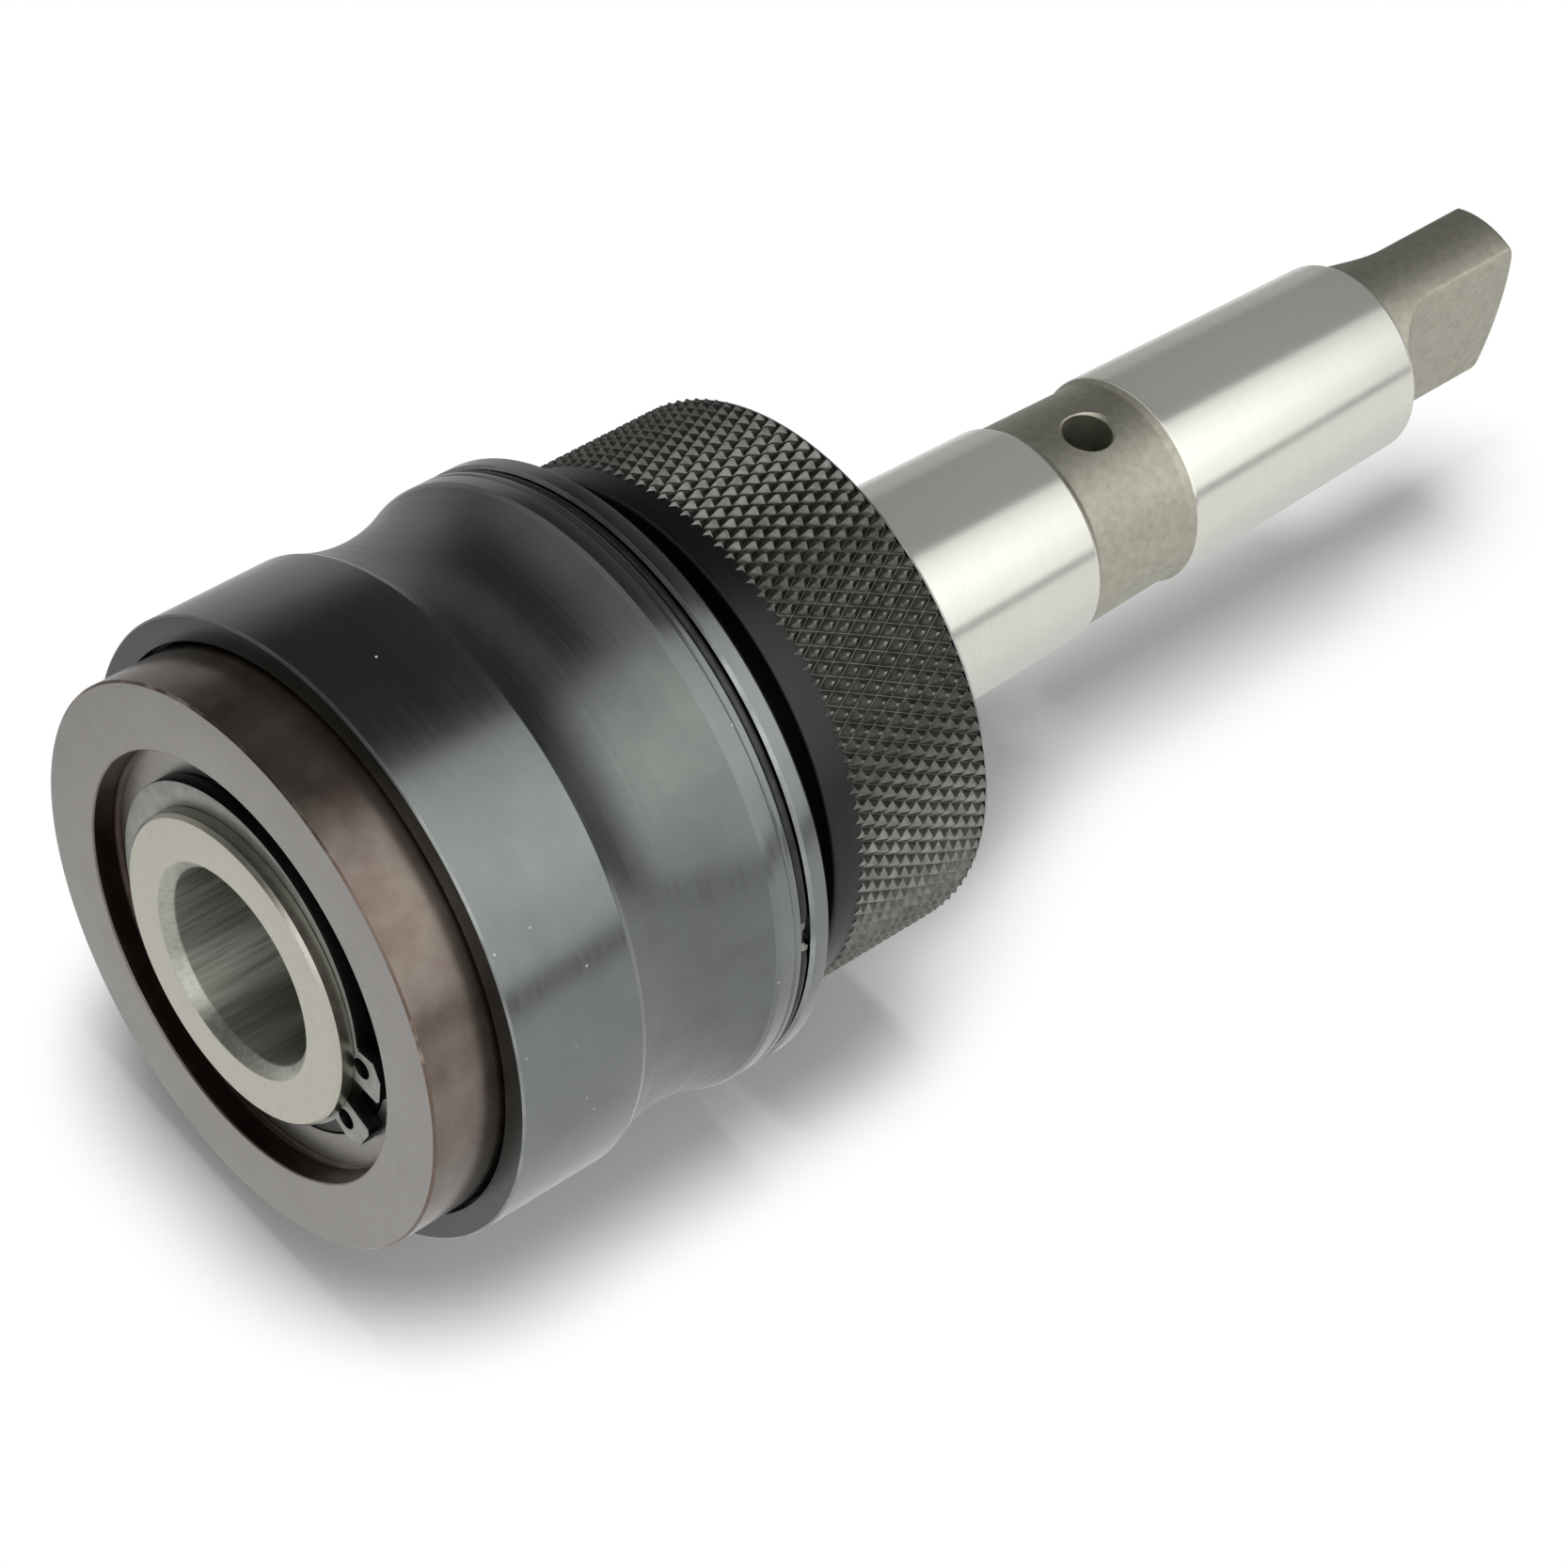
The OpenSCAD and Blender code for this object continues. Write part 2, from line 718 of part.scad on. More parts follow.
// Diamond knurl: a grid whose points stand high in a chequer, where each cell is
// split along the groove that joins its two low corners
module knurled_barrel() {
    columns = 2 * knurl_count;
    rings = knurl_rows + 3;
    points = [
        for (k = [0:rings - 1])
            for (i = [0:columns - 1])
                let (
                    a = 360 * i / columns,
                    r = barrel_r(i, k)
                )
                [barrel_x(k), r * cos(a), r * sin(a)]
    ];
    cells = [
        for (k = [0:rings - 2])
            for (i = [0:columns - 1])
                let (
                    n = (i + 1) % columns,
                    p00 = k * columns + i,
                    p01 = k * columns + n,
                    p10 = p00 + columns,
                    p11 = p01 + columns
                )
                each (i + k) % 2 == 1 ?
                    [[p00, p11, p01], [p00, p10, p11]] :
                    [[p00, p10, p01], [p01, p10, p11]]
    ];
    last = rings * columns;
    front = [for (i = [0:columns - 1]) [i, (i + 1) % columns, last]];
    back = [for (i = [0:columns - 1]) [last - columns + (i + 1) % columns, last - columns + i, last + 1]];
    centres = [[barrel_x(0), 0, 0], [collar_end_x, 0, 0]];
    polyhedron(points = concat(points, centres), faces = concat(cells, front, back));
}

module smooth_band() {
    turned()
        polygon([
            [0, collar_x],
            [band_r - band_round, collar_x],
            [band_r, collar_x + band_round],
            [band_r, knurl_x],
            [0, knurl_x]
        ]);
}

module knurled_collar() {
    color([0.16, 0.16, 0.15])
        difference() {
            union() {
                smooth_band();
                knurled_barrel();
            }
            turned() {
                band(collar_x - overrun, flange_x, 0, seat_r);
                band(collar_x - overrun, flange_end_x + face_gap, 0, flange_r + seat_gap);
                band(collar_x - overrun, collar_end_x + overrun, 0, taper_r(flange_end_x) + lip_gap);
            }
            key_hole();
        }
}

module key_hole() {
    rotate([key_angle, 0, 0])
        translate([0, flange_r, 0])
            along(flange_x - overrun)
                cylinder(h = key_len + overrun + seat_gap, d = key_d + 2 * seat_gap);
}

module collar_key() {
    color([0.7, 0.7, 0.72])
        rotate([key_angle, 0, 0])
            translate([0, flange_r, 0])
                along(flange_x + seat_gap)
                    cylinder(h = key_len - seat_gap, d = key_d);
}

module bore_seal() {
    color([0.08, 0.08, 0.08])
        o_ring(
            bore_seal_x + bore_seal_w / 2,
            bore_r + bore_seal_depth - bore_seal_d / 2 - seat_gap,
            bore_seal_d
        );
}

module ejector_plunger() {
    color([0.72, 0.6, 0.32])
        turned()
            difference() {
                polygon([
                    [plunger_hole_r, plunger_x - plunger_nose_len],
                    [plunger_nose_r, plunger_x - plunger_nose_len],
                    [plunger_nose_r, plunger_x],
                    [plunger_r, plunger_x],
                    [plunger_r, plunger_end_x],
                    [plunger_tail_r, plunger_end_x],
                    [plunger_tail_r, plunger_end_x + plunger_tail_len],
                    [plunger_hole_r, plunger_end_x + plunger_tail_len]
                ]);
                band(plunger_seal_x - plunger_seal_d / 2 - face_gap,
                    plunger_seal_x + plunger_seal_d / 2 + face_gap,
                    plunger_r - plunger_seal_depth, plunger_r + overrun);
            }
}

module plunger_seal() {
    color([0.08, 0.08, 0.08])
        o_ring(plunger_seal_x, plunger_bore_r - plunger_seal_d / 2 - seat_gap, plunger_seal_d);
}

module plunger_spring() {
    color([0.55, 0.56, 0.58])
        coil_spring(plunger_spring_x, plunger_spring_len, plunger_spring_r, plunger_wire_d, plunger_turns);
}

module plunger_circlip() {
    inner_r = plunger_bore_r - inner_clip_w;
    color([0.2, 0.2, 0.2])
        rotate([(360 - inner_clip_angle) / 2, 0, 0])
            turned(inner_clip_angle)
                band(inner_clip_x + face_gap / 2, inner_clip_end_x + face_gap / 2,
                    inner_r, inner_clip_groove_r - seat_gap);
}

arbor();
front_ring();
nose_seal();
support_washer();
nose_circlip();
grip_sleeve();
sleeve_wire_ring();
cam_bush();
lock_ball_top();
lock_ball_side();
stop_pin();
sleeve_spring();
spring_seat();
knurled_collar();
collar_key();
bore_seal();
ejector_plunger();
plunger_seal();
plunger_spring();
plunger_circlip();
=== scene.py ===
"""Dresses the quick-change arbor: a taper shank with a tang that carries a socket for side-flat cutters."""

import math

import bmesh
import bpy
import numpy as np
from mathutils import Matrix, Vector


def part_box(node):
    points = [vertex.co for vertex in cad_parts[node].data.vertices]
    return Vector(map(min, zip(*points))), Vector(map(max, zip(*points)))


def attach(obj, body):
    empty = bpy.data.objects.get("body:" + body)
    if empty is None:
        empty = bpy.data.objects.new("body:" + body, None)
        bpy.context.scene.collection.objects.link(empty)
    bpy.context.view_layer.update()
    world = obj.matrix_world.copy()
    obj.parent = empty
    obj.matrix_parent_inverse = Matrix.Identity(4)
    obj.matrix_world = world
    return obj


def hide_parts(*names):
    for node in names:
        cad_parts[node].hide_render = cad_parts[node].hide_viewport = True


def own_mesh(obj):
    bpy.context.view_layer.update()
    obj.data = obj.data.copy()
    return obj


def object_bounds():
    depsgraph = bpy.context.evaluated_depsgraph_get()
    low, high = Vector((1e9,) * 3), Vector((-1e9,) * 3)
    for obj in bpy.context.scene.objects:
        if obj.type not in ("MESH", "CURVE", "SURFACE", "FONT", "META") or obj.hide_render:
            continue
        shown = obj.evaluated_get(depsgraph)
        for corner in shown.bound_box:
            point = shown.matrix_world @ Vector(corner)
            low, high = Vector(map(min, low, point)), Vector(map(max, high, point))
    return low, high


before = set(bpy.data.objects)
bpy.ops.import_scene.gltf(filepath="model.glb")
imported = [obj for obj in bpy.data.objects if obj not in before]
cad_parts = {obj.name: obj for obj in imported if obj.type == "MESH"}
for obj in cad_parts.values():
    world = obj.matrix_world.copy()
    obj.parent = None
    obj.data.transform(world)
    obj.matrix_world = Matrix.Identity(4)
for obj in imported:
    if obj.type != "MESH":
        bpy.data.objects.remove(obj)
CAD_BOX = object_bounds()

bl_info = {
    "name": "Quick-change arbor",
    "version": (1, 0, 0),
    "blender": (4, 5, 0),
    "location": "3D View > Sidebar > Arbor",
    "description": "Builds and finishes the pieces of a taper-shank quick-change arbor",
    "category": "Object",
}

MM = 0.001
SIDES = 256
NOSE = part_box("arbor")[0][0]


# Shapes


def along(place):
    """X of a place that is given in millimetres behind the nose face."""
    return NOSE + place * MM


def spot(place, radius, angle):
    """Point at a place and a radius in millimetres, and an angle from +Y towards +Z."""
    return along(place), radius * math.cos(angle) * MM, radius * math.sin(angle) * MM


def soft_profile(corners, steps=5):
    """Rounds a closed or open row of corners: (place, radius) or (place, radius, rounding), in
    millimetres."""
    points = []
    count = len(corners)
    for i, corner in enumerate(corners):
        here = Vector(corner[:2])
        rounding = corner[2] if len(corner) > 2 else 0
        if not rounding:
            points.append(tuple(here))
            continue
        before = Vector(corners[i - 1][:2]) - here
        after = Vector(corners[(i + 1) % count][:2]) - here
        half = before.angle(after) / 2
        reach = min(rounding / math.tan(half), before.length * 0.49, after.length * 0.49)
        a = here + before.normalized() * reach
        b = here + after.normalized() * reach
        centre = here + (before.normalized() + after.normalized()).normalized() * (reach / math.cos(half))
        start = a - centre
        sweep = start.angle_signed(b - centre)
        for k in range(steps + 1):
            turn = -sweep * k / steps
            c, s = math.cos(turn), math.sin(turn)
            points.append((centre.x + start.x * c - start.y * s, centre.y + start.x * s + start.y * c))
    return points


def turned_mesh(name, profile, closed=True, sides=SIDES, shape=None, finish_at=None):
    """Turns a profile of (place, radius) about the tool axis. shape may change a ring's radii, and
    finish_at picks the material slot of each band."""
    verts, rings = [], []
    for i, (place, radius) in enumerate(profile):
        if radius < 1e-6:
            rings.append([len(verts)])
            verts.append((along(place), 0, 0))
            continue
        ring = []
        for k in range(sides):
            a = 2 * math.pi * k / sides
            p, r = shape(i, place, radius, a) if shape else (place, radius)
            ring.append(len(verts))
            verts.append(spot(p, r, a))
        rings.append(ring)
    faces, slots = [], []
    pairs = list(zip(range(len(rings)), range(1, len(rings))))
    if closed:
        pairs.append((len(rings) - 1, 0))
    for i, j in pairs:
        low, high = rings[i], rings[j]
        slot = finish_at(i, profile[i], profile[j]) if finish_at else 0
        for k in range(sides):
            n = (k + 1) % sides
            if len(low) == 1 and len(high) == 1:
                break
            if len(low) == 1:
                faces.append((low[0], high[n], high[k]))
            elif len(high) == 1:
                faces.append((low[k], low[n], high[0]))
            else:
                faces.append((low[k], low[n], high[n], high[k]))
            slots.append(slot)
    mesh = bpy.data.meshes.new(name)
    mesh.from_pydata(verts, [], faces)
    mesh.polygons.foreach_set("material_index", slots)
    face_out(mesh)
    return mesh


def face_out(mesh):
    """Points all faces of a closed mesh outwards."""
    work = bmesh.new()
    work.from_mesh(mesh)
    bmesh.ops.recalc_face_normals(work, faces=work.faces)
    work.to_mesh(mesh)
    work.free()


def piece_from(mesh, name, body, stands_for, finishes, sharp=32):
    """Makes the mesh a finished piece that rides on a body and stands for its CAD nodes."""
    mesh.polygons.foreach_set("use_smooth", [True] * len(mesh.polygons))
    mesh.set_sharp_from_angle(angle=math.radians(sharp))
    kept = [0] * len(mesh.polygons)
    mesh.polygons.foreach_get("material_index", kept)
    mesh.materials.clear()
    for finish in finishes:
        mesh.materials.append(finish)
    mesh.polygons.foreach_set("material_index", kept)
    mesh.name = name
    piece = bpy.data.objects.new(name, mesh)
    bpy.context.scene.collection.objects.link(piece)
    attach(piece, body)
    if stands_for:
        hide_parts(*stands_for)
    return piece


def with_modifiers(mesh, setup):
    """Applies the modifiers that setup adds to a working object, and gives the plain mesh."""
    work = bpy.data.objects.new("work", mesh)
    bpy.context.scene.collection.objects.link(work)
    helpers = setup(work) or []
    bpy.context.view_layer.update()
    graph = bpy.context.evaluated_depsgraph_get()
    result = bpy.data.meshes.new_from_object(work.evaluated_get(graph))
    for helper in helpers + [work]:
        bpy.data.objects.remove(helper)
    return result


def swept_tube(path, radius, sides=16, taper_ends=0):
    """Round wire along a row of points, with domed ends."""
    points = [Vector(p) for p in path]
    count = len(points)
    verts, faces = [], []
    tangent = (points[1] - points[0]).normalized()
    side = tangent.orthogonal().normalized()
    for i, point in enumerate(points):
        ahead = points[min(i + 1, count - 1)] - points[max(i - 1, 0)]
        turn = tangent.rotation_difference(ahead.normalized())
        tangent = ahead.normalized()
        side = (turn @ side).normalized()
        other = tangent.cross(side)
        scale = 1
        if taper_ends and (i < taper_ends or i >= count - taper_ends):
            inward = min(i, count - 1 - i) / taper_ends
            scale = 0.45 + 0.55 * math.sin(inward * math.pi / 2)
        for k in range(sides):
            a = 2 * math.pi * k / sides
            verts.append(point + (side * math.cos(a) + other * math.sin(a)) * radius * scale)
    for i in range(count - 1):
        for k in range(sides):
            n = (k + 1) % sides
            faces.append((i * sides + k, i * sides + n, (i + 1) * sides + n, (i + 1) * sides + k))
    faces.append(tuple(reversed(range(sides))))
    faces.append(tuple(range((count - 1) * sides, count * sides)))
    mesh = bpy.data.meshes.new("wire")
    mesh.from_pydata(verts, [], faces)
    face_out(mesh)
    return mesh


# Finishes


def linear(code):
    """Linear RGBA of an sRGB hex code."""
    parts = [int(code[i:i + 2], 16) / 255 for i in (1, 3, 5)]
    return tuple(c / 12.92 if c <= 0.04045 else ((c + 0.055) / 1.055) ** 2.4 for c in parts) + (1,)


def add(tree, kind, inputs=None, **settings):
    """Adds a node with its settings, and fills or links its inputs. A shader node is told by its short
    kind."""
    made = tree.nodes.new(kind if "Node" in kind else "ShaderNode" + kind)
    for key, value in settings.items():
        setattr(made, key, value)
    for key, value in (inputs or {}).items():
        socket = made.inputs[key]
        if isinstance(value, bpy.types.NodeSocket):
            tree.links.new(value, socket)
        else:
            socket.default_value = value
    return made


def output(tree, kind, inputs=None, **settings):
    """Adds a node as add does, and gives its first output."""
    return add(tree, kind, inputs, **settings).outputs[0]


def turning_coordinates(tree, along_mm, out_mm):
    """Coordinates that are the same all round the tool axis, so a noise on them gives lathe or grinding
    lines. They count line spacings along X and outwards."""
    place = add(tree, "TexCoord").outputs["Object"]
    parts = add(tree, "SeparateXYZ", {0: place})
    flat = add(tree, "VectorMath", {0: place, 1: (0, 1, 1)}, operation="MULTIPLY")
    out = add(tree, "VectorMath", {0: flat.outputs[0]}, operation="LENGTH")
    x = add(tree, "Math", {0: parts.outputs[0], 1: 1 / (along_mm * MM)}, operation="MULTIPLY")
    r = add(tree, "Math", {0: out.outputs["Value"], 1: 1 / (out_mm * MM)}, operation="MULTIPLY")
    drift = add(tree, "Math", {0: parts.outputs[1], 1: 25}, operation="MULTIPLY")
    return output(tree, "CombineXYZ", {0: x.outputs[0], 1: r.outputs[0], 2: drift.outputs[0]})


def new_finish(name):
    """A material with a Principled shader, and its tree."""
    finish = bpy.data.materials.new(name)
    finish.use_nodes = True
    return finish, finish.node_tree, finish.node_tree.nodes["Principled BSDF"]


def settle(shader, values):
    """Sets the shader values that are the same all over a finish."""
    for key, value in values.items():
        shader.inputs[key].default_value = value


def tint(shader, low, high, pattern, source_low=0.0, source_high=1.0):
    """Base colour between two hex colours, by a pattern between its own ends."""
    tree = shader.id_data
    amount = output(tree, "MapRange", {0: pattern, 1: source_low, 2: source_high})
    mix = add(tree, "Mix", {"Factor": amount, 6: linear(low), 7: linear(high)}, data_type="RGBA")
    tree.links.new(mix.outputs[2], shader.inputs["Base Color"])


def vary(shader, name, pattern, low, high, source_low=0.3, source_high=0.7):
    """Lets a shader value follow a pattern: low and high are its values at the pattern's own ends."""
    tree = shader.id_data
    ends = {0: pattern, 1: source_low, 2: source_high, 3: low, 4: high}
    tree.links.new(output(tree, "MapRange", ends), shader.inputs[name])


def relief(shader, height, depth_mm, strength):
    """Bump of a real depth."""
    tree = shader.id_data
    bump = add(tree, "Bump", {"Height": height, "Distance": depth_mm * MM, "Strength": strength})
    tree.links.new(bump.outputs[0], shader.inputs["Normal"])


def mottle(tree, size_mm, detail=3.0, rough=0.55):
    """Uneven cloud pattern of a real size."""
    place = add(tree, "TexCoord").outputs["Object"]
    return output(tree, "TexNoise",
                  {"Vector": place, "Scale": 1 / (size_mm * MM), "Detail": detail, "Roughness": rough})


def streaks(tree, along_mm, across_mm):
    """Noise stretched along the tool axis, as a honing or drawing tool leaves it."""
    place = add(tree, "TexCoord").outputs["Object"]
    scale = (1 / (along_mm * MM), 1 / (across_mm * MM), 1 / (across_mm * MM))
    drawn = output(tree, "VectorMath", {0: place, 1: scale}, operation="MULTIPLY")
    return output(tree, "TexNoise", {"Vector": drawn, "Scale": 1.0, "Detail": 3.0})


def rings(tree, along_mm, out_mm, detail=3.0):
    """Noise that is the same all round the tool axis, as turning or grinding leaves it."""
    place = turning_coordinates(tree, along_mm, out_mm)
    return output(tree, "TexNoise", {"Vector": place, "Scale": 1.0, "Detail": detail})


def ground_taper_steel(tree, shader):
    """Cylindrically ground tool steel: bright satin. The lines run round the axis, so they draw each
    reflection out along it."""
    settle(shader, {"Metallic": 0.82, "Anisotropic": 0.75, "Anisotropic Rotation": 0.25})
    lines = rings(tree, 0.3, 0.3, 4.0)
    cloud = mottle(tree, 6)
    both = output(tree, "Math", {0: lines, 1: cloud, 2: 0.5}, operation="MULTIPLY_ADD")
    tint(shader, "#CDCCC3", "#DBDAD2", both)
    tree.links.new(output(tree, "Tangent", direction_type="RADIAL", axis="X"), shader.inputs["Tangent"])
    vary(shader, "Roughness", cloud, 0.16, 0.21)
    relief(shader, lines, 0.0012, 0.3)


def milled_steel(tree, shader):
    """Heat-treated, bead-blasted tool steel of the tang and the relief groove: matt warm grey with a fine
    grain."""
    settle(shader, {"Metallic": 1})
    grain = mottle(tree, 0.3, 4.0)
    tint(shader, "#A4A294", "#B9B7A9", mottle(tree, 0.9), 0.25, 0.75)
    vary(shader, "Roughness", grain, 0.46, 0.54)
    relief(shader, grain, 0.014, 0.45)


def faced_steel(tree, shader):
    """Tool steel of the nose, faced and lightly ground: satin greenish grey, with rings that can just be
    seen."""
    settle(shader, {"Metallic": 1})
    lines = rings(tree, 0.3, 0.22)
    tint(shader, "#B2B0A3", "#BCBAAE", mottle(tree, 0.5))
    vary(shader, "Roughness", mottle(tree, 1.2), 0.3, 0.38)
    relief(shader, lines, 0.0008, 0.2)


def bored_steel(tree, shader):
    """Honed tool steel of the socket: the fine scratches run round, so they draw the light of the mouth
    deep into the bore, in bands along it."""
    settle(shader, {"Metallic": 1, "Anisotropic": 0.92, "Anisotropic Rotation": 0.25})
    drawn = streaks(tree, 9, 0.45)
    tint(shader, "#A09F95", "#BAB9B0", drawn, 0.3, 0.7)
    tree.links.new(output(tree, "Tangent", direction_type="RADIAL", axis="X"), shader.inputs["Tangent"])
    vary(shader, "Roughness", drawn, 0.34, 0.42)
    relief(shader, rings(tree, 0.35, 0.35), 0.002, 0.3)


def brown_oxide(tree, shader):
    """Steel with a brown-black oxide over fine turning: taupe where it shines, near black brown in the
    shade."""
    settle(shader, {"Metallic": 0.95, "Coat Weight": 0.35, "Coat Roughness": 0.22})
    tint(shader, "#63564E", "#7A7067", mottle(tree, 4), 0.3, 0.7)
    vary(shader, "Roughness", mottle(tree, 3), 0.25, 0.31)
    relief(shader, mottle(tree, 0.35), 0.003, 0.15)


def brown_face(tree, shader):
    """The same oxide on the ground faces of the ring: greyer and brighter, because the film is thin
    there."""
    settle(shader, {"Metallic": 0.95})
    grain = mottle(tree, 0.35)
    tint(shader, "#8F8C88", "#95928D", mottle(tree, 4), 0.3, 0.7)
    vary(shader, "Roughness", grain, 0.32, 0.4)
    relief(shader, grain, 0.002, 0.25)


def painted_shade_recess(tree, shader):
    """The brown oxide on the wall of the recess, painted nearly black as the shade that falls in the
    recess.
    """
    settle(shader, {"Metallic": 0.95, "Roughness": 0.3})
    tint(shader, "#3B2F2B", "#4C413C", mottle(tree, 3), 0.3, 0.7)
    relief(shader, mottle(tree, 0.35), 0.003, 0.3)


def worn_edge(tree, shader):
    """Edge of the brown oxide, rubbed back towards bare steel in a few places."""
    settle(shader, {"Metallic": 1, "Roughness": 0.3})
    tint(shader, "#6E5E55", "#B3A598", mottle(tree, 3.5), 0.5, 0.68)


def black_wear_and_highlight(tree, shader):
    """Chamfers of the black sleeve and the rim of the collar: a fine grey line, partly where handling
    thinned the oxide and partly a painted highlight along the edge."""
    settle(shader, {"Metallic": 1, "Roughness": 0.25})
    tint(shader, "#7E8280", "#9DA19F", mottle(tree, 3), 0.3, 0.7)


# Millimetres between two specks of dust
DUST_APART = 3.0


def black_oxide(tree, shader):
    """Steel with a blue-black oxide over fine turning: satin, with faint lathe rings and a little dust."""
    settle(shader, {"Coat Weight": 0.4, "Coat Roughness": 0.2})
    lines = rings(tree, 0.3, 0.3)
    shade = output(tree, "MapRange", {0: mottle(tree, 8), 1: 0.3, 2: 0.7})
    base = add(tree, "Mix", {"Factor": shade, 6: linear("#6C706E"), 7: linear("#787C7A")}, data_type="RGBA")
    place = add(tree, "TexCoord").outputs["Object"]
    cells = add(tree, "TexVoronoi", {"Vector": place, "Scale": 1 / (DUST_APART * MM)})
    specks = cells.outputs["Distance"]
    dust = output(tree, "MapRange", {0: specks, 1: 0.03, 2: 0.05, 3: 0.7, 4: 0.0})
    dusty = add(tree, "Mix", {"Factor": dust, 6: base.outputs[2], 7: linear("#D8D2C4")}, data_type="RGBA")
    tree.links.new(dusty.outputs[2], shader.inputs["Base Color"])
    vary(shader, "Metallic", dust, 1.0, 0.0, 0.0, 0.7)
    vary(shader, "Roughness", lines, 0.17, 0.23)
    grain = output(tree, "Math", {0: lines, 1: mottle(tree, 0.28, 4.0)}, operation="ADD")
    relief(shader, grain, 0.003, 0.3)


def waist_oxide(tree, shader):
    """Black oxide in the concave waist, which is left as the form tool turned it: duller than the lands,
    with rings that show."""
    settle(shader, {"Metallic": 1})
    lines = rings(tree, 0.4, 0.4, 2.0)
    tint(shader, "#686B68", "#727672", mottle(tree, 6), 0.3, 0.7)
    vary(shader, "Roughness", lines, 0.24, 0.31)
    relief(shader, lines, 0.012, 0.35)


def faced_oxide_painted_shade(tree, shader):
    """Black oxide on the faced end of the sleeve: duller than the ground lands, and painted darker than
    them as the shade of the step beside the ring.
    """
    settle(shader, {"Metallic": 1})
    lines = rings(tree, 0.25, 0.25)
    tint(shader, "#4D504E", "#595C5A", lines)
    vary(shader, "Roughness", lines, 0.3, 0.38)
    relief(shader, lines, 0.002, 0.3)


def painted_shade_band(tree, shader):
    """Black oxide on the smooth turned band in front of the knurl, painted near black as the shade of the
    gap behind the sleeve, and duller."""
    settle(shader, {"Metallic": 1})
    lines = rings(tree, 0.25, 0.25)
    tint(shader, "#2F3131", "#3A3C3B", lines)
    vary(shader, "Roughness", lines, 0.3, 0.4)
    relief(shader, lines, 0.002, 0.3)


def knurled_oxide(tree, shader):
    """Black oxide on a rolled knurl, mottled in tone and roughness."""
    settle(shader, {"Metallic": 1})
    tint(shader, "#5A5B56", "#72736D", mottle(tree, 1.1), 0.35, 0.65)
    vary(shader, "Roughness", mottle(tree, 0.6), 0.22, 0.36, 0.35, 0.65)
    relief(shader, mottle(tree, 0.25), 0.006, 0.25)


def spring_black(tree, shader):
    """Oil-blackened spring steel of the washer and the wire ring."""
    settle(shader, {"Metallic": 1, "Roughness": 0.36})
    tint(shader, "#333533", "#444643", mottle(tree, 2), 0.3, 0.7)
    relief(shader, mottle(tree, 0.3), 0.006, 0.25)


def phosphated_clip(tree, shader):
    """Phosphated spring steel of the circlips: matt mid grey, with stamped edges."""
    settle(shader, {"Metallic": 0.8, "Roughness": 0.46})
    tint(shader, "#8D908B", "#A2A49F", mottle(tree, 1.5), 0.3, 0.7)
    relief(shader, mottle(tree, 0.3), 0.006, 0.25)


def painted_shade_clip_side(tree, shader):
    """Side wall of the circlip, painted near black as the shade between it and the recess wall; it hardly
    shines.
    """
    settle(shader, {"Metallic": 0.9, "Roughness": 0.42})
    tint(shader, "#242523", "#323431", mottle(tree, 0.8))
    relief(shader, mottle(tree, 0.3), 0.01, 0.35)


def spring_wire(tree, shader):
    """Drawn and tempered spring wire, grey with a slight straw tint."""
    settle(shader, {"Metallic": 1, "Roughness": 0.3})
    tint(shader, "#7C7B76", "#99978F", mottle(tree, 3), 0.3, 0.7)
    relief(shader, mottle(tree, 0.4), 0.004, 0.2)


def polished_steel(tree, shader):
    """Through-hardened bearing steel of the balls and the pins, polished."""
    settle(shader, {"Metallic": 1})
    tint(shader, "#CFCFCE", "#DEDEDC", mottle(tree, 4))
    vary(shader, "Roughness", mottle(tree, 1.5), 0.08, 0.14)


def hardened_steel(tree, shader):
    """Case-hardened, ground steel of the cam bush and the spring seat."""
    settle(shader, {"Metallic": 1})
    lines = rings(tree, 0.3, 0.3)
    tint(shader, "#7F8183", "#95979A", lines)
    vary(shader, "Roughness", lines, 0.28, 0.4)
    relief(shader, lines, 0.003, 0.3)


def seal_rubber(tree, shader):
    """Moulded nitrile rubber: matt black."""
    settle(shader, {"IOR": 1.52})
    tint(shader, "#141414", "#202020", mottle(tree, 1.0))
    vary(shader, "Roughness", mottle(tree, 0.6), 0.55, 0.7, 0.0, 1.0)
    relief(shader, mottle(tree, 0.2), 0.01, 0.3)


def turned_brass(tree, shader):
    """Free-cutting brass as it leaves the lathe."""
    settle(shader, {"Metallic": 1})
    lines = rings(tree, 0.25, 0.2)
    tint(shader, "#B59A5A", "#D2B873", lines)
    vary(shader, "Roughness", lines, 0.22, 0.32)
    relief(shader, lines, 0.003, 0.3)


FINISHES = {}


def finish(maker):
    """The one copy of a finish, which has the name of its function."""
    name = maker.__name__
    if name not in FINISHES:
        FINISHES[name], tree, shader = new_finish(name)
        maker(tree, shader)
    return FINISHES[name]


def dress(node, maker):
    """Gives its finish to a CAD node that is shown as it is."""
    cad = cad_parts[node]
    cad.data.materials.clear()
    cad.data.materials.append(finish(maker))


# Sizes


def length(name, description, default):
    return bpy.props.FloatProperty(name=name, description=description, default=default, unit="LENGTH",
            subtype="DISTANCE", precision=5)


class ArborSizes(bpy.types.PropertyGroup):
    """Sizes of the arbor that a user would change."""
    gauge: length("Gauge diameter", "Diameter of the taper at its gauge plane", 0.023825)
    taper: bpy.props.FloatProperty(name="Taper", description="Diameter lost for each unit of length",
            default=0.0502, precision=4)
    tang_thickness: length("Tang thickness", "Thickness across the flats of the tang", 0.0079)
    tang_rounding: length("Tang rounding", "Width of the soft edge between a flat and the round", 0.0009)
    cross_hole: length("Cross hole", "Diameter of the coolant cross hole", 0.005)


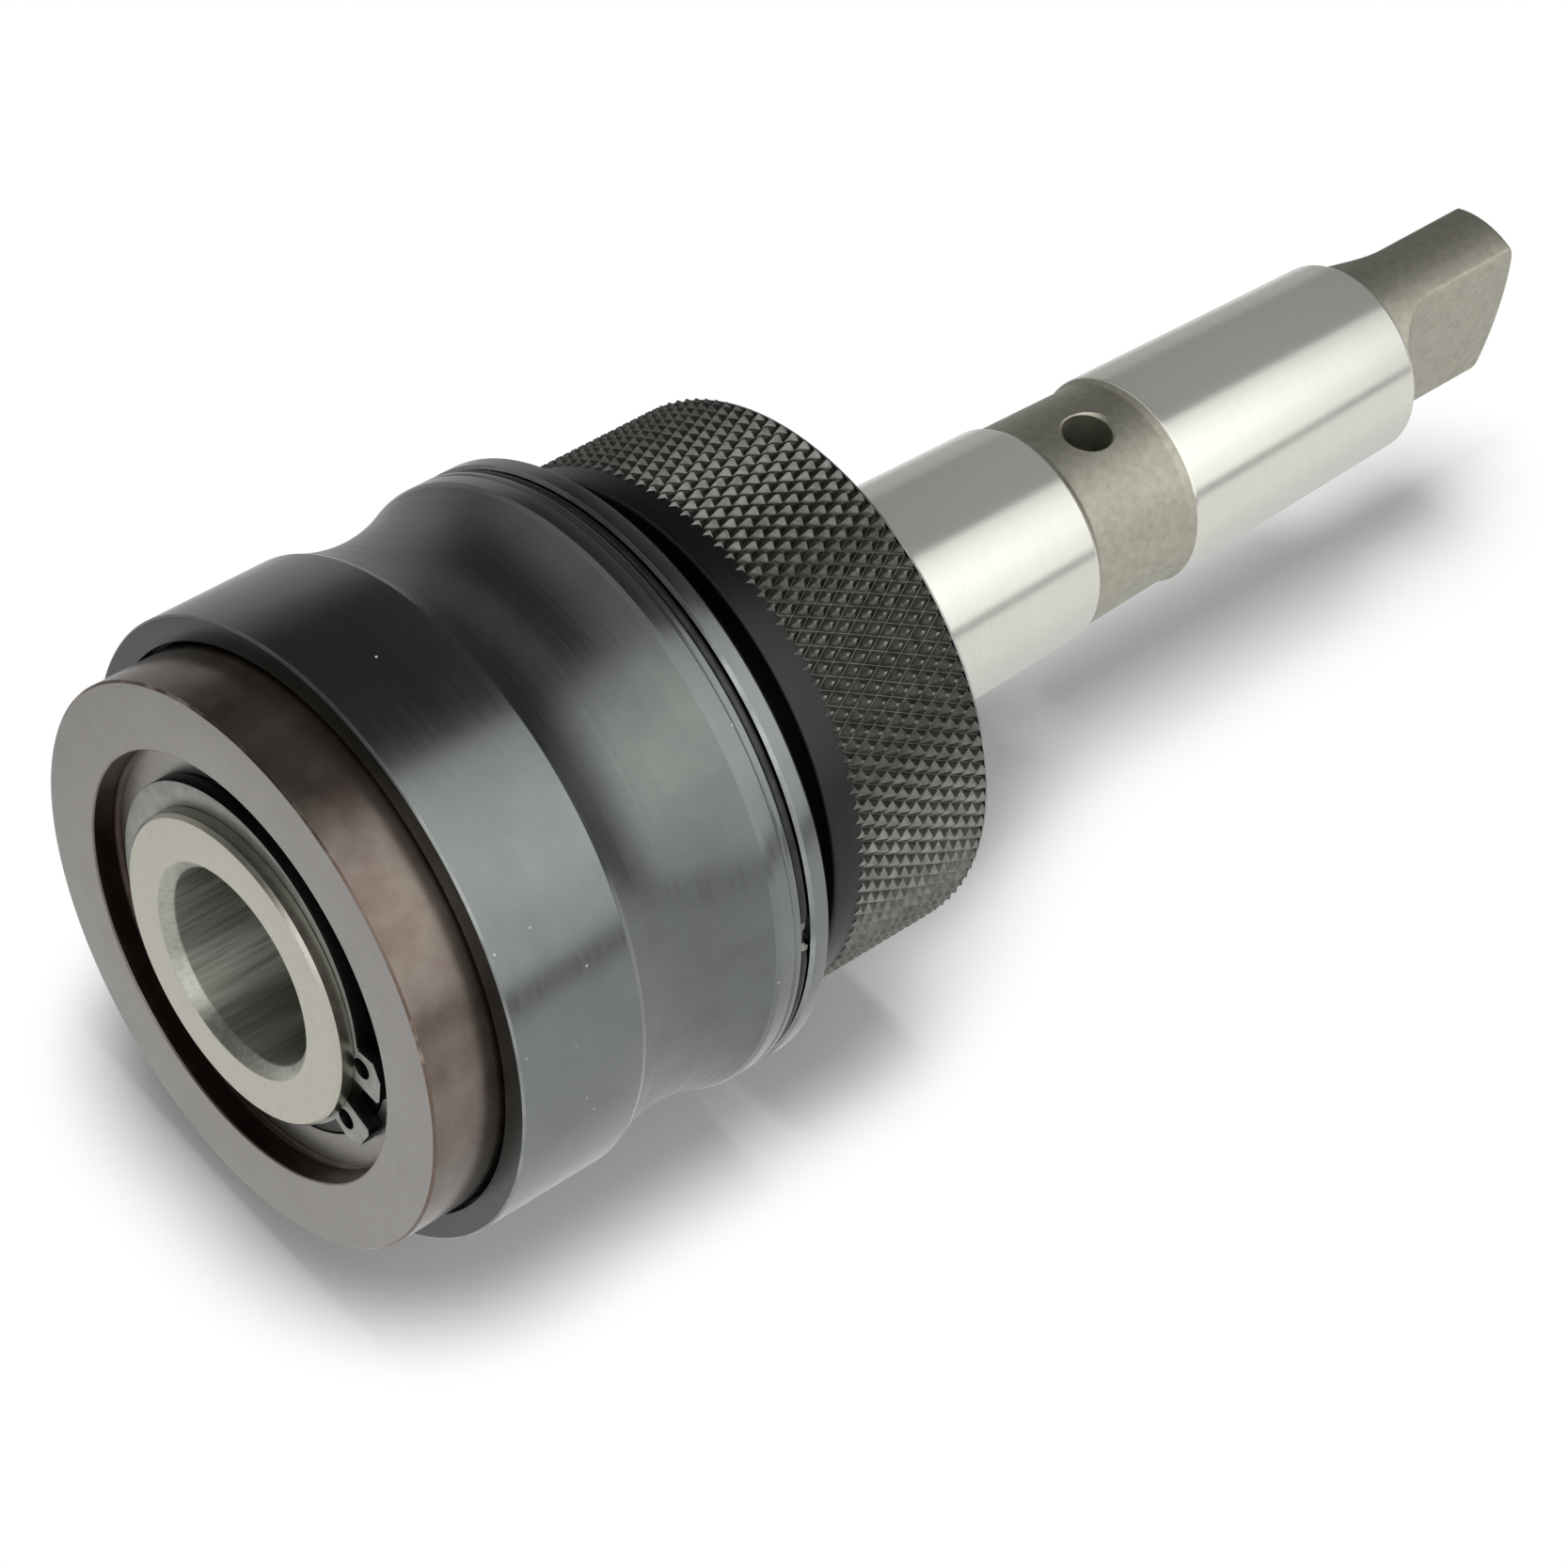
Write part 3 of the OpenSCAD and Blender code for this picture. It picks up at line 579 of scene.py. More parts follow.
class RingSizes(bpy.types.PropertyGroup):
    """Sizes of the front ring and what lies in its recess."""
    recess_rounding: length("Recess rounding", "Radius in the corner of the recess", 0.0007)
    edge: length("Edge", "Worn chamfer on the front edge", 0.0002)
    clip_edge: length("Clip edge", "Rounded edge of the circlip", 0.00012)


class SleeveSizes(bpy.types.PropertyGroup):
    """Sizes of the grip sleeve and its wire ring."""
    waist_depth: length("Waist depth", "Depth of the concave waist", 0.00165)
    waist_length: length("Waist length", "Length of the concave waist", 0.01575)
    wire: length("Wire", "Diameter of the wire ring", 0.0011)
    wire_gap: bpy.props.FloatProperty(name="Wire gap", description="Gap between the ends of the wire ring",
            default=math.radians(3), subtype="ANGLE")


class CollarSizes(bpy.types.PropertyGroup):
    """Sizes of the knurled collar."""
    points: bpy.props.IntProperty(name="Points", description="Knurl points in one row round the collar",
            default=110, min=12)
    rows: bpy.props.IntProperty(name="Rows", description="Rows of knurl points", default=12, min=2)
    depth: length("Depth", "Depth of the knurl", 0.0006)
    point_flat: bpy.props.FloatProperty(name="Point flat",
            description="Width of the worn flat on a point, as a share of its foot", default=0.2, min=0.0,
            max=1.0, subtype="FACTOR")


class SpringSizes(bpy.types.PropertyGroup):
    """Sizes of the two coil springs."""
    sleeve_turns: bpy.props.IntProperty(name="Sleeve turns", description="Turns of the sleeve spring",
            default=4)
    ejector_turns: bpy.props.IntProperty(name="Ejector turns", description="Turns of the ejector spring",
            default=7)


class StageSizes(bpy.types.PropertyGroup):
    """Floor, light and camera."""
    floor_colour: bpy.props.FloatVectorProperty(name="Floor colour", description="Colour of the floor",
            default=(0.58, 0.58, 0.58), size=3, subtype="COLOR", min=0.0, max=1.0)
    lens: bpy.props.FloatProperty(name="Lens", description="Focal length of the camera in millimetres",
            default=107.87)


# Pieces


def taper_radius(place, sizes):
    """Radius in millimetres of the ground taper at a place behind the nose face."""
    x = along(place)
    return (sizes.gauge - sizes.taper * x) / 2 / MM


class ARBOR_OT_shank(bpy.types.Operator):
    """Turn the arbor with its socket, cut the ball seats and the cross hole, and mill the tang"""
    bl_idname = "arbor.shank"
    bl_label = "Arbor"

    def execute(self, context):
        sizes = context.scene.arbor_sizes
        gauge = -NOSE / MM
        end = gauge + 94
        taper_end = gauge + 74
        tang, dome = 9.1, 30
        tip_edge, tip_steps = 0.45, 8
        half = sizes.tang_thickness / 2 / MM
        cutter = 7
        flat = gauge + 80.77
        groove, groove_end, groove_depth = gauge + 28.2, gauge + 42, 0.45
        flange_end = 60.24

        def tr(p):
            return taper_radius(p, sizes)

        turned = soft_profile([
            (107.3, 0), (105.8, 3), (73.57, 3), (69.57, 7), (38.55, 7), (38.55, 7.35), (37.5, 7.35),
            (37.5, 7), (36.5, 7, 0.08), (36.5, 9.525), (33.45, 9.525, 0.1), (33.45, 11.2), (31.05, 11.2),
            (31.05, 9.525, 0.1), (25.5, 9.525), (25.2, 9.825), (11.8, 9.825), (11.5, 9.525),
            (1.0, 9.525, 0.4), (0, 10.525, 0.12), (0, 14.65, 0.1), (0.35, 15, 0.1), (1.6, 15, 0.05),
            (1.6, 14.3), (3.2, 14.3), (3.2, 15, 0.05), (11.55, 15), (11.55, 16.5), (47.6, 16.5),
            (47.6, 20.5), (flange_end, 20.5), (flange_end, tr(flange_end)), (groove, tr(groove), 0.5),
            (groove + 0.7, tr(groove) - groove_depth, 0.8),
            (groove_end - 0.7, tr(groove_end) - groove_depth, 0.8), (groove_end, tr(groove_end), 0.5),
            (taper_end - 0.45, tr(taper_end - 0.45), 0.5), (taper_end, tr(taper_end) - 0.4, 0.3),
            (taper_end + 0.02, tang),
        ])
        mouth = next(i for i, point in enumerate(turned) if point[1] > 14)
        start_tang = len(turned) - 1
        run = [(taper_end + 0.1 + 6.9 * i / 34, tang) for i in range(35)]
        straight = [(p, tang) for p in (gauge + 81.6, gauge + 85, gauge + 89, gauge + 91.8)]
        tip = [(end, tang)] * tip_steps
        caps = [(end, tang * t) for t in (0.9, 0.75, 0.5, 0.25)] + [(end, 0)]
        profile = turned + run + straight + tip + caps
        first_tip = start_tang + 1 + len(run) + len(straight)
        soft = sizes.tang_rounding / MM

        def outline(place, angle):
            """Radius of the tang's rounded outline in one direction."""
            if place >= flat:
                thick = half
            else:
                thick = half + cutter - math.sqrt(max(cutter ** 2 - (flat - place) ** 2, 0))
            limit = thick / max(abs(math.cos(angle)), 1e-6)
            blend = max(soft - abs(limit - tang), 0) / soft
            return min(limit, tang) - blend * blend * soft / 4

        def shape(i, place, radius, angle):
            if i < start_tang:
                return place, radius
            if i < first_tip:
                return place, outline(place, angle)
            side = outline(end - 1, angle)
            k = i - first_tip
            if k < tip_steps:
                turn = math.pi / 2 * k / (tip_steps - 1)
                dip = end - dome + math.sqrt(dome ** 2 - (side - tip_edge) ** 2)
                return dip - tip_edge * (1 - math.sin(turn)), side - tip_edge * (1 - math.cos(turn))
            r = (side - tip_edge) * radius / tang
            return end - dome + math.sqrt(dome ** 2 - r ** 2), r

        def slot_of(i, a, b):
            mid = (a[0] + b[0]) / 2
            if i < mouth - 1:
                return 2
            if i >= start_tang - 1:
                return 1
            if mid < 47:
                return 3
            return 1 if groove + 0.15 < mid < groove_end - 0.15 else 0

        mesh = turned_mesh("arbor_steel", profile, closed=False, shape=shape, finish_at=slot_of, sides=288)
        slots = [finish(ground_taper_steel), finish(milled_steel), finish(bored_steel), finish(faced_steel)]
        for s in slots:
            mesh.materials.append(s)

        def cut(work):
            tool = bmesh.new()
            cross = (groove + groove_end) / 2
            bore = sizes.cross_hole / 2 / MM
            rim = tr(cross) - groove_depth

            def drill(profile_rows, angle, place, segments=72):
                ring_rows = []
                for height, radius in profile_rows:
                    ring_rows.append([
                        tool.verts.new(Matrix.Rotation(angle, 3, "X") @ Vector((
                            along(place) + radius * MM * math.cos(2 * math.pi * k / segments),
                            height * MM,
                            radius * MM * math.sin(2 * math.pi * k / segments))))
                        for k in range(segments)])
                for low, high in zip(ring_rows, ring_rows[1:]):
                    for k in range(segments):
                        n = (k + 1) % segments
                        tool.faces.new((low[k], low[n], high[n], high[k]))
                tool.faces.new(ring_rows[0])
                tool.faces.new(ring_rows[-1])

            lip = 0.45
            drill([(-rim - 2, bore + lip + 2), (-rim + lip, bore), (rim - lip, bore),
                   (rim + 2, bore + lip + 2)], math.pi / 2, cross)
            for angle in (0, math.pi / 2):
                drill([(8.2, 4.92), (10.31, 4.92), (10.31, 6.05), (20, 6.05)], angle, 18.5)
            bmesh.ops.recalc_face_normals(tool, faces=tool.faces)
            cutter_mesh = bpy.data.meshes.new("cutter")
            tool.to_mesh(cutter_mesh)
            tool.free()
            for s in slots:
                cutter_mesh.materials.append(s)
            drilled = [1 if face.center.x > 0 else 2 for face in cutter_mesh.polygons]
            cutter_mesh.polygons.foreach_set("material_index", drilled)
            helper = bpy.data.objects.new("cutter", cutter_mesh)
            bpy.context.scene.collection.objects.link(helper)
            boolean = work.modifiers.new("cut", "BOOLEAN")
            boolean.operation = "DIFFERENCE"
            boolean.solver = "EXACT"
            boolean.object = helper
            return [helper]

        mesh = with_modifiers(mesh, cut)
        piece_from(mesh, "arbor_steel", "arbor_body", ["arbor"], slots, sharp=28)
        dress("collar_key", polished_steel)
        dress("stop_pin", polished_steel)
        return {"FINISHED"}


class ARBOR_OT_front_ring(bpy.types.Operator):
    """Turn the brown front ring with its recess, and the washer that lies in its floor"""
    bl_idname = "arbor.front_ring"
    bl_label = "Front ring"

    def execute(self, context):
        sizes = context.scene.ring_sizes
        edge = sizes.edge / MM
        profile = soft_profile([
            (11.5, 15.05), (11.5, 27.25, 0.2), (0.5 + edge, 27.25, 0.05), (0.5, 27.25 - edge, 0.05),
            (0.5, 20.75, 0.18), (3.2, 20.75, sizes.recess_rounding / MM), (3.2, 17.3, 0.08),
            (4.22, 17.3), (4.22, 15.05),
        ], steps=6)

        def slot_of(i, a, b):
            low, high = 0.5 - 0.01, 0.5 + edge + 0.06
            on_edge = all(low < p[0] < high and p[1] > 27.25 - edge - 0.06 for p in (a, b)) and a[0] != b[0]
            flat = abs(a[0] - b[0]) < 1e-6 and a[0] < 5
            in_recess = 20.2 < min(a[1], b[1]) and max(a[1], b[1]) < 21 and max(a[0], b[0]) > 0.7
            return 3 if in_recess else 1 if on_edge else 2 if flat else 0

        mesh = turned_mesh("ring_front", profile, finish_at=slot_of)
        # The recess wall takes a nearly black finish as painted shade.
        coats = [finish(brown_oxide), finish(worn_edge), finish(brown_face), finish(painted_shade_recess)]
        piece_from(mesh, "ring_front", "arbor_body", ["front_ring"], coats)
        profile = soft_profile([(3.2, 15.05), (3.2, 17.15, 0.12), (4.2, 17.15, 0.12), (4.2, 15.05)])
        washer = turned_mesh("washer_support", profile)
        piece_from(washer, "washer_support", "arbor_body", ["support_washer"],
                   [finish(spring_black)])
        return {"FINISHED"}


class ARBOR_OT_circlip(bpy.types.Operator):
    """Stamp the circlip on the nose: an eccentric ring with two holed ears"""
    bl_idname = "arbor.circlip"
    bl_label = "Circlip"

    def execute(self, context):
        sizes = context.scene.ring_sizes
        inner, outer, shift, ear = 14.32, 16.5, 1.15, 18.5
        gap, ear_end, hole_angle = math.radians(7), math.radians(22), math.radians(15.2)
        hole_place, hole, hole_sides = 15.91, 1.0, 28
        turn = math.radians(188.7)
        steps = 150

        def outside(a):
            """Radius of the eccentric outer edge in one direction from the gap."""
            c = -shift * math.cos(a)
            return c + math.sqrt(outer ** 2 - (shift * math.sin(a)) ** 2)

        rim = [(outside(a), a) for a in np.linspace(2 * math.pi - ear_end, ear_end, steps)]
        inside = [(inner, a) for a in np.linspace(gap, 2 * math.pi - gap, steps)]

        def ear_side(sign):
            """Rounded outline of one ear, from the band out to the gap."""
            base = (outside(ear_end), ear_end * sign)
            return [base, (ear - 0.9, ear_end * sign * 0.97), (ear, ear_end * sign * 0.72),
                    (ear, gap * sign * 1.25), (ear - 0.35, gap * sign), (inner, gap * sign)]

        first = [(r, a % (2 * math.pi)) for r, a in ear_side(1)]
        last = [(r, a % (2 * math.pi)) for r, a in reversed(ear_side(-1))]
        loop = rim + first[1:-1] + inside + last[1:-1]

        work = bmesh.new()
        front, back = 1.65, 3.15

        def ring_of(points, place):
            return [work.verts.new(spot(place, r, a + turn)) for r, a in points]

        low, high = ring_of(loop, front), ring_of(loop, back)
        count = len(loop)
        for k in range(count):
            n = (k + 1) % count
            work.faces.new((low[k], low[n], high[n], high[k]))
        holes = []
        for sign in (-1, 1):
            hole_turn = sign * hole_angle + turn
            cy, cz = hole_place * math.cos(hole_turn), hole_place * math.sin(hole_turn)
            circle = [((cy + hole * math.cos(t)) * MM, (cz + hole * math.sin(t)) * MM)
                      for t in np.linspace(0, 2 * math.pi, hole_sides, endpoint=False)]
            pair = [[work.verts.new((along(place), y, z)) for y, z in circle] for place in (front, back)]
            for k in range(hole_sides):
                n = (k + 1) % hole_sides
                work.faces.new((pair[0][k], pair[0][n], pair[1][n], pair[1][k]))
            holes.append(pair)
        for side, main in ((0, low), (1, high)):
            edges = [work.edges.get((row[k - 1], row[k]))
                     for row in [main] + [h[side] for h in holes] for k in range(len(row))]
            bmesh.ops.triangle_fill(work, use_beauty=True, use_dissolve=False, edges=edges)
        bmesh.ops.recalc_face_normals(work, faces=work.faces)
        mesh = bpy.data.meshes.new("clip")
        work.to_mesh(mesh)
        work.free()

        def soften(obj):
            bevel = obj.modifiers.new("edge", "BEVEL")
            bevel.width = sizes.clip_edge
            bevel.segments = 2
            bevel.limit_method = "ANGLE"
            bevel.angle_limit = math.radians(50)

        mesh = with_modifiers(mesh, soften)
        # Painted shade: the side walls of the clip take a near black copy of its finish.
        shaded_sides = [0 if abs(face.normal.x) > 0.6 else 1 for face in mesh.polygons]
        mesh.polygons.foreach_set("material_index", shaded_sides)
        coats = [finish(phosphated_clip), finish(painted_shade_clip_side)]
        piece_from(mesh, "circlip_nose", "arbor_body", ["nose_circlip"], coats)
        dress("plunger_circlip", phosphated_clip)
        return {"FINISHED"}


class ARBOR_OT_sleeve(bpy.types.Operator):
    """Turn the grip sleeve with its waist, scribed line and groove, and lay the wire ring in it"""
    bl_idname = "arbor.sleeve"
    bl_label = "Grip sleeve"

    def execute(self, context):
        sizes = context.scene.sleeve_sizes
        outer, depth, span_len = 30.1, sizes.waist_depth / MM, sizes.waist_length / MM
        waist, middle = 20.75, 20.75 + span_len / 2
        arc = (span_len ** 2 / 4 + depth ** 2) / (2 * depth)
        hollow = []
        for k in range(33):
            place = waist + span_len * k / 32
            rise = outer - depth + arc - math.sqrt(arc ** 2 - (place - middle) ** 2)
            hollow.append((place, min(rise, outer), 0.25 if k in (0, 32) else 0))
        profile = soft_profile([
            (42.25, 25.02), (11.6, 25.02), (11.6, 27.6, 0.1), (7.7, 27.6, 0.15), (7.7, outer - 0.2, 0.05),
            (7.9, outer, 0.08),
        ] + hollow + [
            (37.95, outer, 0.06), (38.15, outer - 0.2), (38.35, outer, 0.06), (38.8, outer, 0.06),
            (38.8, 28.82, 0.15), (40.1, 28.82, 0.15), (40.1, outer - 0.3, 0.04), (40.4, outer, 0.04),
            (41.9, outer, 0.1), (42.25, outer - 0.35, 0.1),
        ], steps=4)

        def slot_of(i, a, b):
            front = 7.69 < min(a[0], b[0]) and max(a[0], b[0]) < 7.96 and min(a[1], b[1]) > outer - 0.22
            rear = 40.08 < min(a[0], b[0]) and max(a[0], b[0]) < 40.45 and min(a[1], b[1]) > outer - 0.34
            # The front face takes a darker finish, partly painted shade.
            if max(a[0], b[0]) < 7.75:
                return 3
            if waist + 0.2 < min(a[0], b[0]) and max(a[0], b[0]) < waist + span_len - 0.2 and a[1] > 26:
                return 2
            # The chamfers take a lighter finish: partly worn oxide, partly a painted highlight.
            return 1 if front or rear else 0

        mesh = turned_mesh("sleeve_grip", profile, finish_at=slot_of)
        coats = [finish(black_oxide), finish(black_wear_and_highlight), finish(waist_oxide), finish(faced_oxide_painted_shade)]
        piece_from(mesh, "sleeve_grip", "sleeve", ["grip_sleeve"], coats)

        place, radius, wire = 39.45, 29.39, sizes.wire / 2
        start = math.radians(169.5)
        path, steps, sides = [], 240, 16
        for k in range(steps + 1):
            a = start - sizes.wire_gap - (2 * math.pi - sizes.wire_gap) * k / steps
            path.append(spot(place, radius, a))
        mesh = swept_tube(path, wire, sides=sides, taper_ends=3)
        hook_angle = start + sizes.wire_gap / 2
        # The ends and the hook take the lighter bare wire finish: partly bare cut steel, partly a painted
        # glint at the two ends.
        ends = [1 if k < sides or k >= sides * (steps - 1) else 0 for k in range(len(mesh.polygons))]
        mesh.polygons.foreach_set("material_index", ends)
        hook = [spot(place, r, hook_angle) for r in (24.5, 26, 27.5, 29.6)]
        stem = swept_tube(hook, wire * 0.96, sides=sides)
        stem.polygons.foreach_set("material_index", [1] * len(stem.polygons))
        joined = bmesh.new()
        joined.from_mesh(mesh)
        joined.from_mesh(stem)
        joined.to_mesh(mesh)
        joined.free()
        piece_from(mesh, "wire_ring", "sleeve", ["sleeve_wire_ring"],
                   [finish(spring_black), finish(spring_wire)], sharp=50)
        dress("cam_bush", hardened_steel)
        return {"FINISHED"}


def knurl_tree():
    """Geometry Nodes that set rows of four-sided points round the tool axis, every other row half a pitch
    on."""
    tree = bpy.data.node_groups.new("diamond_knurl", "GeometryNodeTree")
    face = tree.interface
    face.new_socket("Geometry", in_out="INPUT", socket_type="NodeSocketGeometry")
    names = {}
    kinds = {"Points in a row": "Int", "Rows": "Int", "Root radius": "Float", "Depth": "Float",
             "First row": "Float", "Row step": "Float", "Point flat": "Float", "Finish": "Material"}
    for name, kind in kinds.items():
        names[name] = face.new_socket(name, in_out="INPUT", socket_type="NodeSocket" + kind).identifier
    face.new_socket("Geometry", in_out="OUTPUT", socket_type="NodeSocketGeometry")
    group = add(tree, "NodeGroupInput").outputs
    ends = add(tree, "NodeGroupOutput")

    count = output(tree, "Math", {0: group["Points in a row"], 1: group["Rows"]}, operation="MULTIPLY")
    points = add(tree, "GeometryNodeMeshLine", {"Count": count})
    index = output(tree, "GeometryNodeInputIndex")
    middle = output(tree, "Math", {0: index, 1: 0.5}, operation="ADD")
    before = output(tree, "Math", {0: middle, 1: group["Points in a row"]}, operation="DIVIDE")
    row = output(tree, "Math", {0: before}, operation="FLOOR")
    row_start = output(tree, "Math", {0: row, 1: group["Points in a row"]}, operation="MULTIPLY")
    column = output(tree, "Math", {0: index, 1: row_start}, operation="SUBTRACT")
    odd = output(tree, "Math", {0: row, 1: 2.0}, operation="MODULO")
    shift = output(tree, "Math", {0: odd, 1: 0.5}, operation="MULTIPLY")
    pitch = output(tree, "Math", {0: 2 * math.pi, 1: group["Points in a row"]}, operation="DIVIDE")
    shifted = output(tree, "Math", {0: column, 1: shift}, operation="ADD")
    angle = output(tree, "Math", {0: shifted, 1: pitch}, operation="MULTIPLY")
    advance = output(tree, "Math", {0: row, 1: group["Row step"]}, operation="MULTIPLY")
    x = output(tree, "Math", {0: group["First row"], 1: advance}, operation="ADD")
    shares = [output(tree, "Math", {0: angle}, operation=way) for way in ("COSINE", "SINE")]
    y, z = (output(tree, "Math", {0: group["Root radius"], 1: share}, operation="MULTIPLY")
            for share in shares)
    place = output(tree, "CombineXYZ", {0: x, 1: y, 2: z})
    placed = output(tree, "GeometryNodeSetPosition", {"Geometry": points.outputs[0], "Position": place})
    cone = add(tree, "GeometryNodeMeshCone",
               {"Vertices": 4, "Radius Top": group["Point flat"], "Radius Bottom": 1.0, "Depth": 1.0})
    half_turn = output(tree, "Math", {0: pitch, 1: 0.5}, operation="MULTIPLY")
    half_pitch = output(tree, "Math", {0: group["Root radius"], 1: half_turn}, operation="MULTIPLY")
    size = output(tree, "CombineXYZ", {0: group["Row step"], 1: half_pitch, 2: group["Depth"]})
    scaled = output(tree, "GeometryNodeTransform", {"Geometry": cone.outputs[0], "Scale": size})
    upright = output(tree, "GeometryNodeTransform", {"Geometry": scaled, "Rotation": (-math.pi / 2, 0, 0)})
    turn = output(tree, "CombineXYZ", {0: angle})
    instances = output(tree, "GeometryNodeInstanceOnPoints",
                       {"Points": placed, "Instance": upright, "Rotation": turn})
    whole = output(tree, "GeometryNodeRealizeInstances", {0: instances})
    done = output(tree, "GeometryNodeSetMaterial", {"Geometry": whole, "Material": group["Finish"]})
    tree.links.new(done, ends.inputs[0])
    return tree, names


class ARBOR_OT_collar(bpy.types.Operator):
    """Turn the collar and roll its diamond knurl"""
    bl_idname = "arbor.collar"
    bl_label = "Knurled collar"

    def execute(self, context):
        sizes = context.scene.collar_sizes
        peak, depth = 26.65, sizes.depth / MM
        root = peak - depth
        first, last, end = 48.9, 64.35, 64.7
        step = (last - first) / (sizes.rows - 1 + 0.55)
        shoulder, rim = first + 0.45 * step, 26.3
        profile = soft_profile([
            (46.1, 22), (46.1, 26.38, 0.45), (shoulder, 26.38, 0.08), (shoulder + 0.2, root + 0.03),
            (last + 0.05, root + 0.03), (last + 0.1, rim, 0.03), (end - 0.05, rim, 0.06),
            (end, rim - 0.25, 0.05), (end, 12.5), (60.3, 12.5), (60.3, 20.52), (47.6, 20.52), (47.6, 22),
        ], steps=5)

        def slot_of(i, a, b):
            # The rim takes a lighter finish: partly worn oxide, partly a painted highlight.
            on_rim = min(a[0], b[0]) > last + 0.09 and min(a[1], b[1]) > rim - 0.26
            return 2 if on_rim else 1 if max(a[0], b[0]) < shoulder + 0.01 or min(a[0], b[0]) > last else 0

        # Slot 1, the smooth band and the rear of the collar, takes a near black finish as painted shade.
        mesh = turned_mesh("collar_body", profile, finish_at=slot_of)
        piece_from(mesh, "collar_body", "arbor_body", ["knurled_collar"],
                   [finish(knurled_oxide), finish(painted_shade_band), finish(black_wear_and_highlight)])
        tree, names = knurl_tree()
        values = {
            "Points in a row": sizes.points, "Rows": sizes.rows, "Root radius": root * MM,
            "Depth": depth * MM, "First row": along(first + 0.55 * step), "Row step": step * MM,
            "Point flat": sizes.point_flat, "Finish": finish(knurled_oxide),
        }

        def roll(obj):
            nodes = obj.modifiers.new("knurl", "NODES")
            nodes.node_group = tree
            for name, value in values.items():
                nodes[names[name]] = value

        mesh = with_modifiers(bpy.data.meshes.new("knurl"), roll)
        work = bmesh.new()
        work.from_mesh(mesh)
        chamfer = last - 0.2
        for place in (chamfer, chamfer + 0.15, last + 0.12):
            every = work.verts[:] + work.edges[:] + work.faces[:]
            bmesh.ops.bisect_plane(work, geom=every, plane_co=(along(place), 0, 0), plane_no=(1, 0, 0),
                                   clear_outer=place > last)
        bmesh.ops.holes_fill(work, edges=[e for e in work.edges if e.is_boundary], sides=8)
        for vert in work.verts:
            past = vert.co.x - along(chamfer)
            out = math.hypot(vert.co.y, vert.co.z)
            limit = peak * MM - past * 1.05
            if past > 0 and out > limit:
                vert.co.y *= limit / out
                vert.co.z *= limit / out
        bmesh.ops.recalc_face_normals(work, faces=work.faces)
        work.to_mesh(mesh)
        work.free()
        piece_from(mesh, "collar_knurl", "arbor_body", [], [finish(knurled_oxide)],
                   sharp=10)
        dress("spring_seat", hardened_steel)
        return {"FINISHED"}


def coil(place, overall, mean, wire, turns, sides=14, steps=40):
    """Wire path of a compression spring with a closed turn at each end, in metres."""
    closed = wire * 1.06
    pitch = (overall - wire - 2 * closed) / (turns - 2)
    path = []
    for i in range(turns * steps + 1):
        t = i / steps
        rise = closed * min(t, 1) + pitch * min(max(t - 1, 0), turns - 2) + closed * max(t - turns + 1, 0)
        a = 2 * math.pi * t
        path.append(spot(place + wire / 2 + rise, mean, a))
    return swept_tube(path, wire / 2 * MM, sides=sides, taper_ends=2)


class ARBOR_OT_springs(bpy.types.Operator):
    """Wind the sleeve spring and the ejector spring"""
    bl_idname = "arbor.springs"
    bl_label = "Springs"

    def execute(self, context):
        sizes = context.scene.spring_sizes
        rows = (("spring_sleeve", "sleeve_spring", 18.66, 1.8, sizes.sleeve_turns, "sleeve_slide"),
                ("spring_ejector", "plunger_spring", 5.425, 1.2, sizes.ejector_turns, "ejector_slide"))
        for name, node, mean, wire, turns, joint in rows:
            low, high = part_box(node)
            overall = (high[0] - low[0]) / MM
            mesh = coil((low[0] - NOSE) / MM, overall, mean, wire, turns)
            piece = piece_from(mesh, name, "arbor_body", [node], [finish(spring_wire)],
                               sharp=50)
            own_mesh(piece)
        return {"FINISHED"}


class ARBOR_OT_lock(bpy.types.Operator):
    """Finish the balls, the ejector and the seals"""
    bl_idname = "arbor.lock"
    bl_label = "Lock and ejector"

    def execute(self, context):
        makers = {"lock_ball_top": polished_steel, "lock_ball_side": polished_steel,
                  "ejector_plunger": turned_brass, "plunger_seal": seal_rubber,
                  "bore_seal": seal_rubber, "nose_seal": seal_rubber}
        for node, maker in makers.items():
            dress(node, maker)
        return {"FINISHED"}


# Stage


def card(name, centre, towards, width, height, strength, colour="#FFFFFF"):
    """Soft rectangular studio light."""
    lamp = bpy.data.lights.new(name, "AREA")
    lamp.shape = "RECTANGLE"
    lamp.size, lamp.size_y = width, height
    lamp.energy = strength
    lamp.color = linear(colour)[:3]
    holder = bpy.data.objects.new(name, lamp)
    holder.location = centre
    holder.rotation_euler = (Vector(towards) - Vector(centre)).to_track_quat("-Z", "Y").to_euler()
    bpy.context.scene.collection.objects.link(holder)
    return holder


PEAK = 1.7
# Brightness by the direction round the tool axis, from the +Y side at 0 over the top to the -Y side at 1:
# a dark card, then a soft box
ROUND_LIGHT = ((0.0, 0.4), (0.07, 0.2), (0.13, 0.07), (0.44, 0.07), (0.495, 0.2), (0.535, 1.0),
               (0.62, 1.45), (0.72, 1.7), (0.79, 1.65),
               (0.86, 1.45), (0.94, 1.3), (0.965, 0.4), (1.0, 0.4))
# How much of that the direction along it lets through, from the nose side at 0 to the tang side at 1: the
# soft box ends there
BOX_ENDS = ((0.0, 1.7), (0.4, 1.7), (0.45, 1.7), (0.83, 1.7), (0.89, 0.7), (0.95, 0.3), (1.0, 0.3))
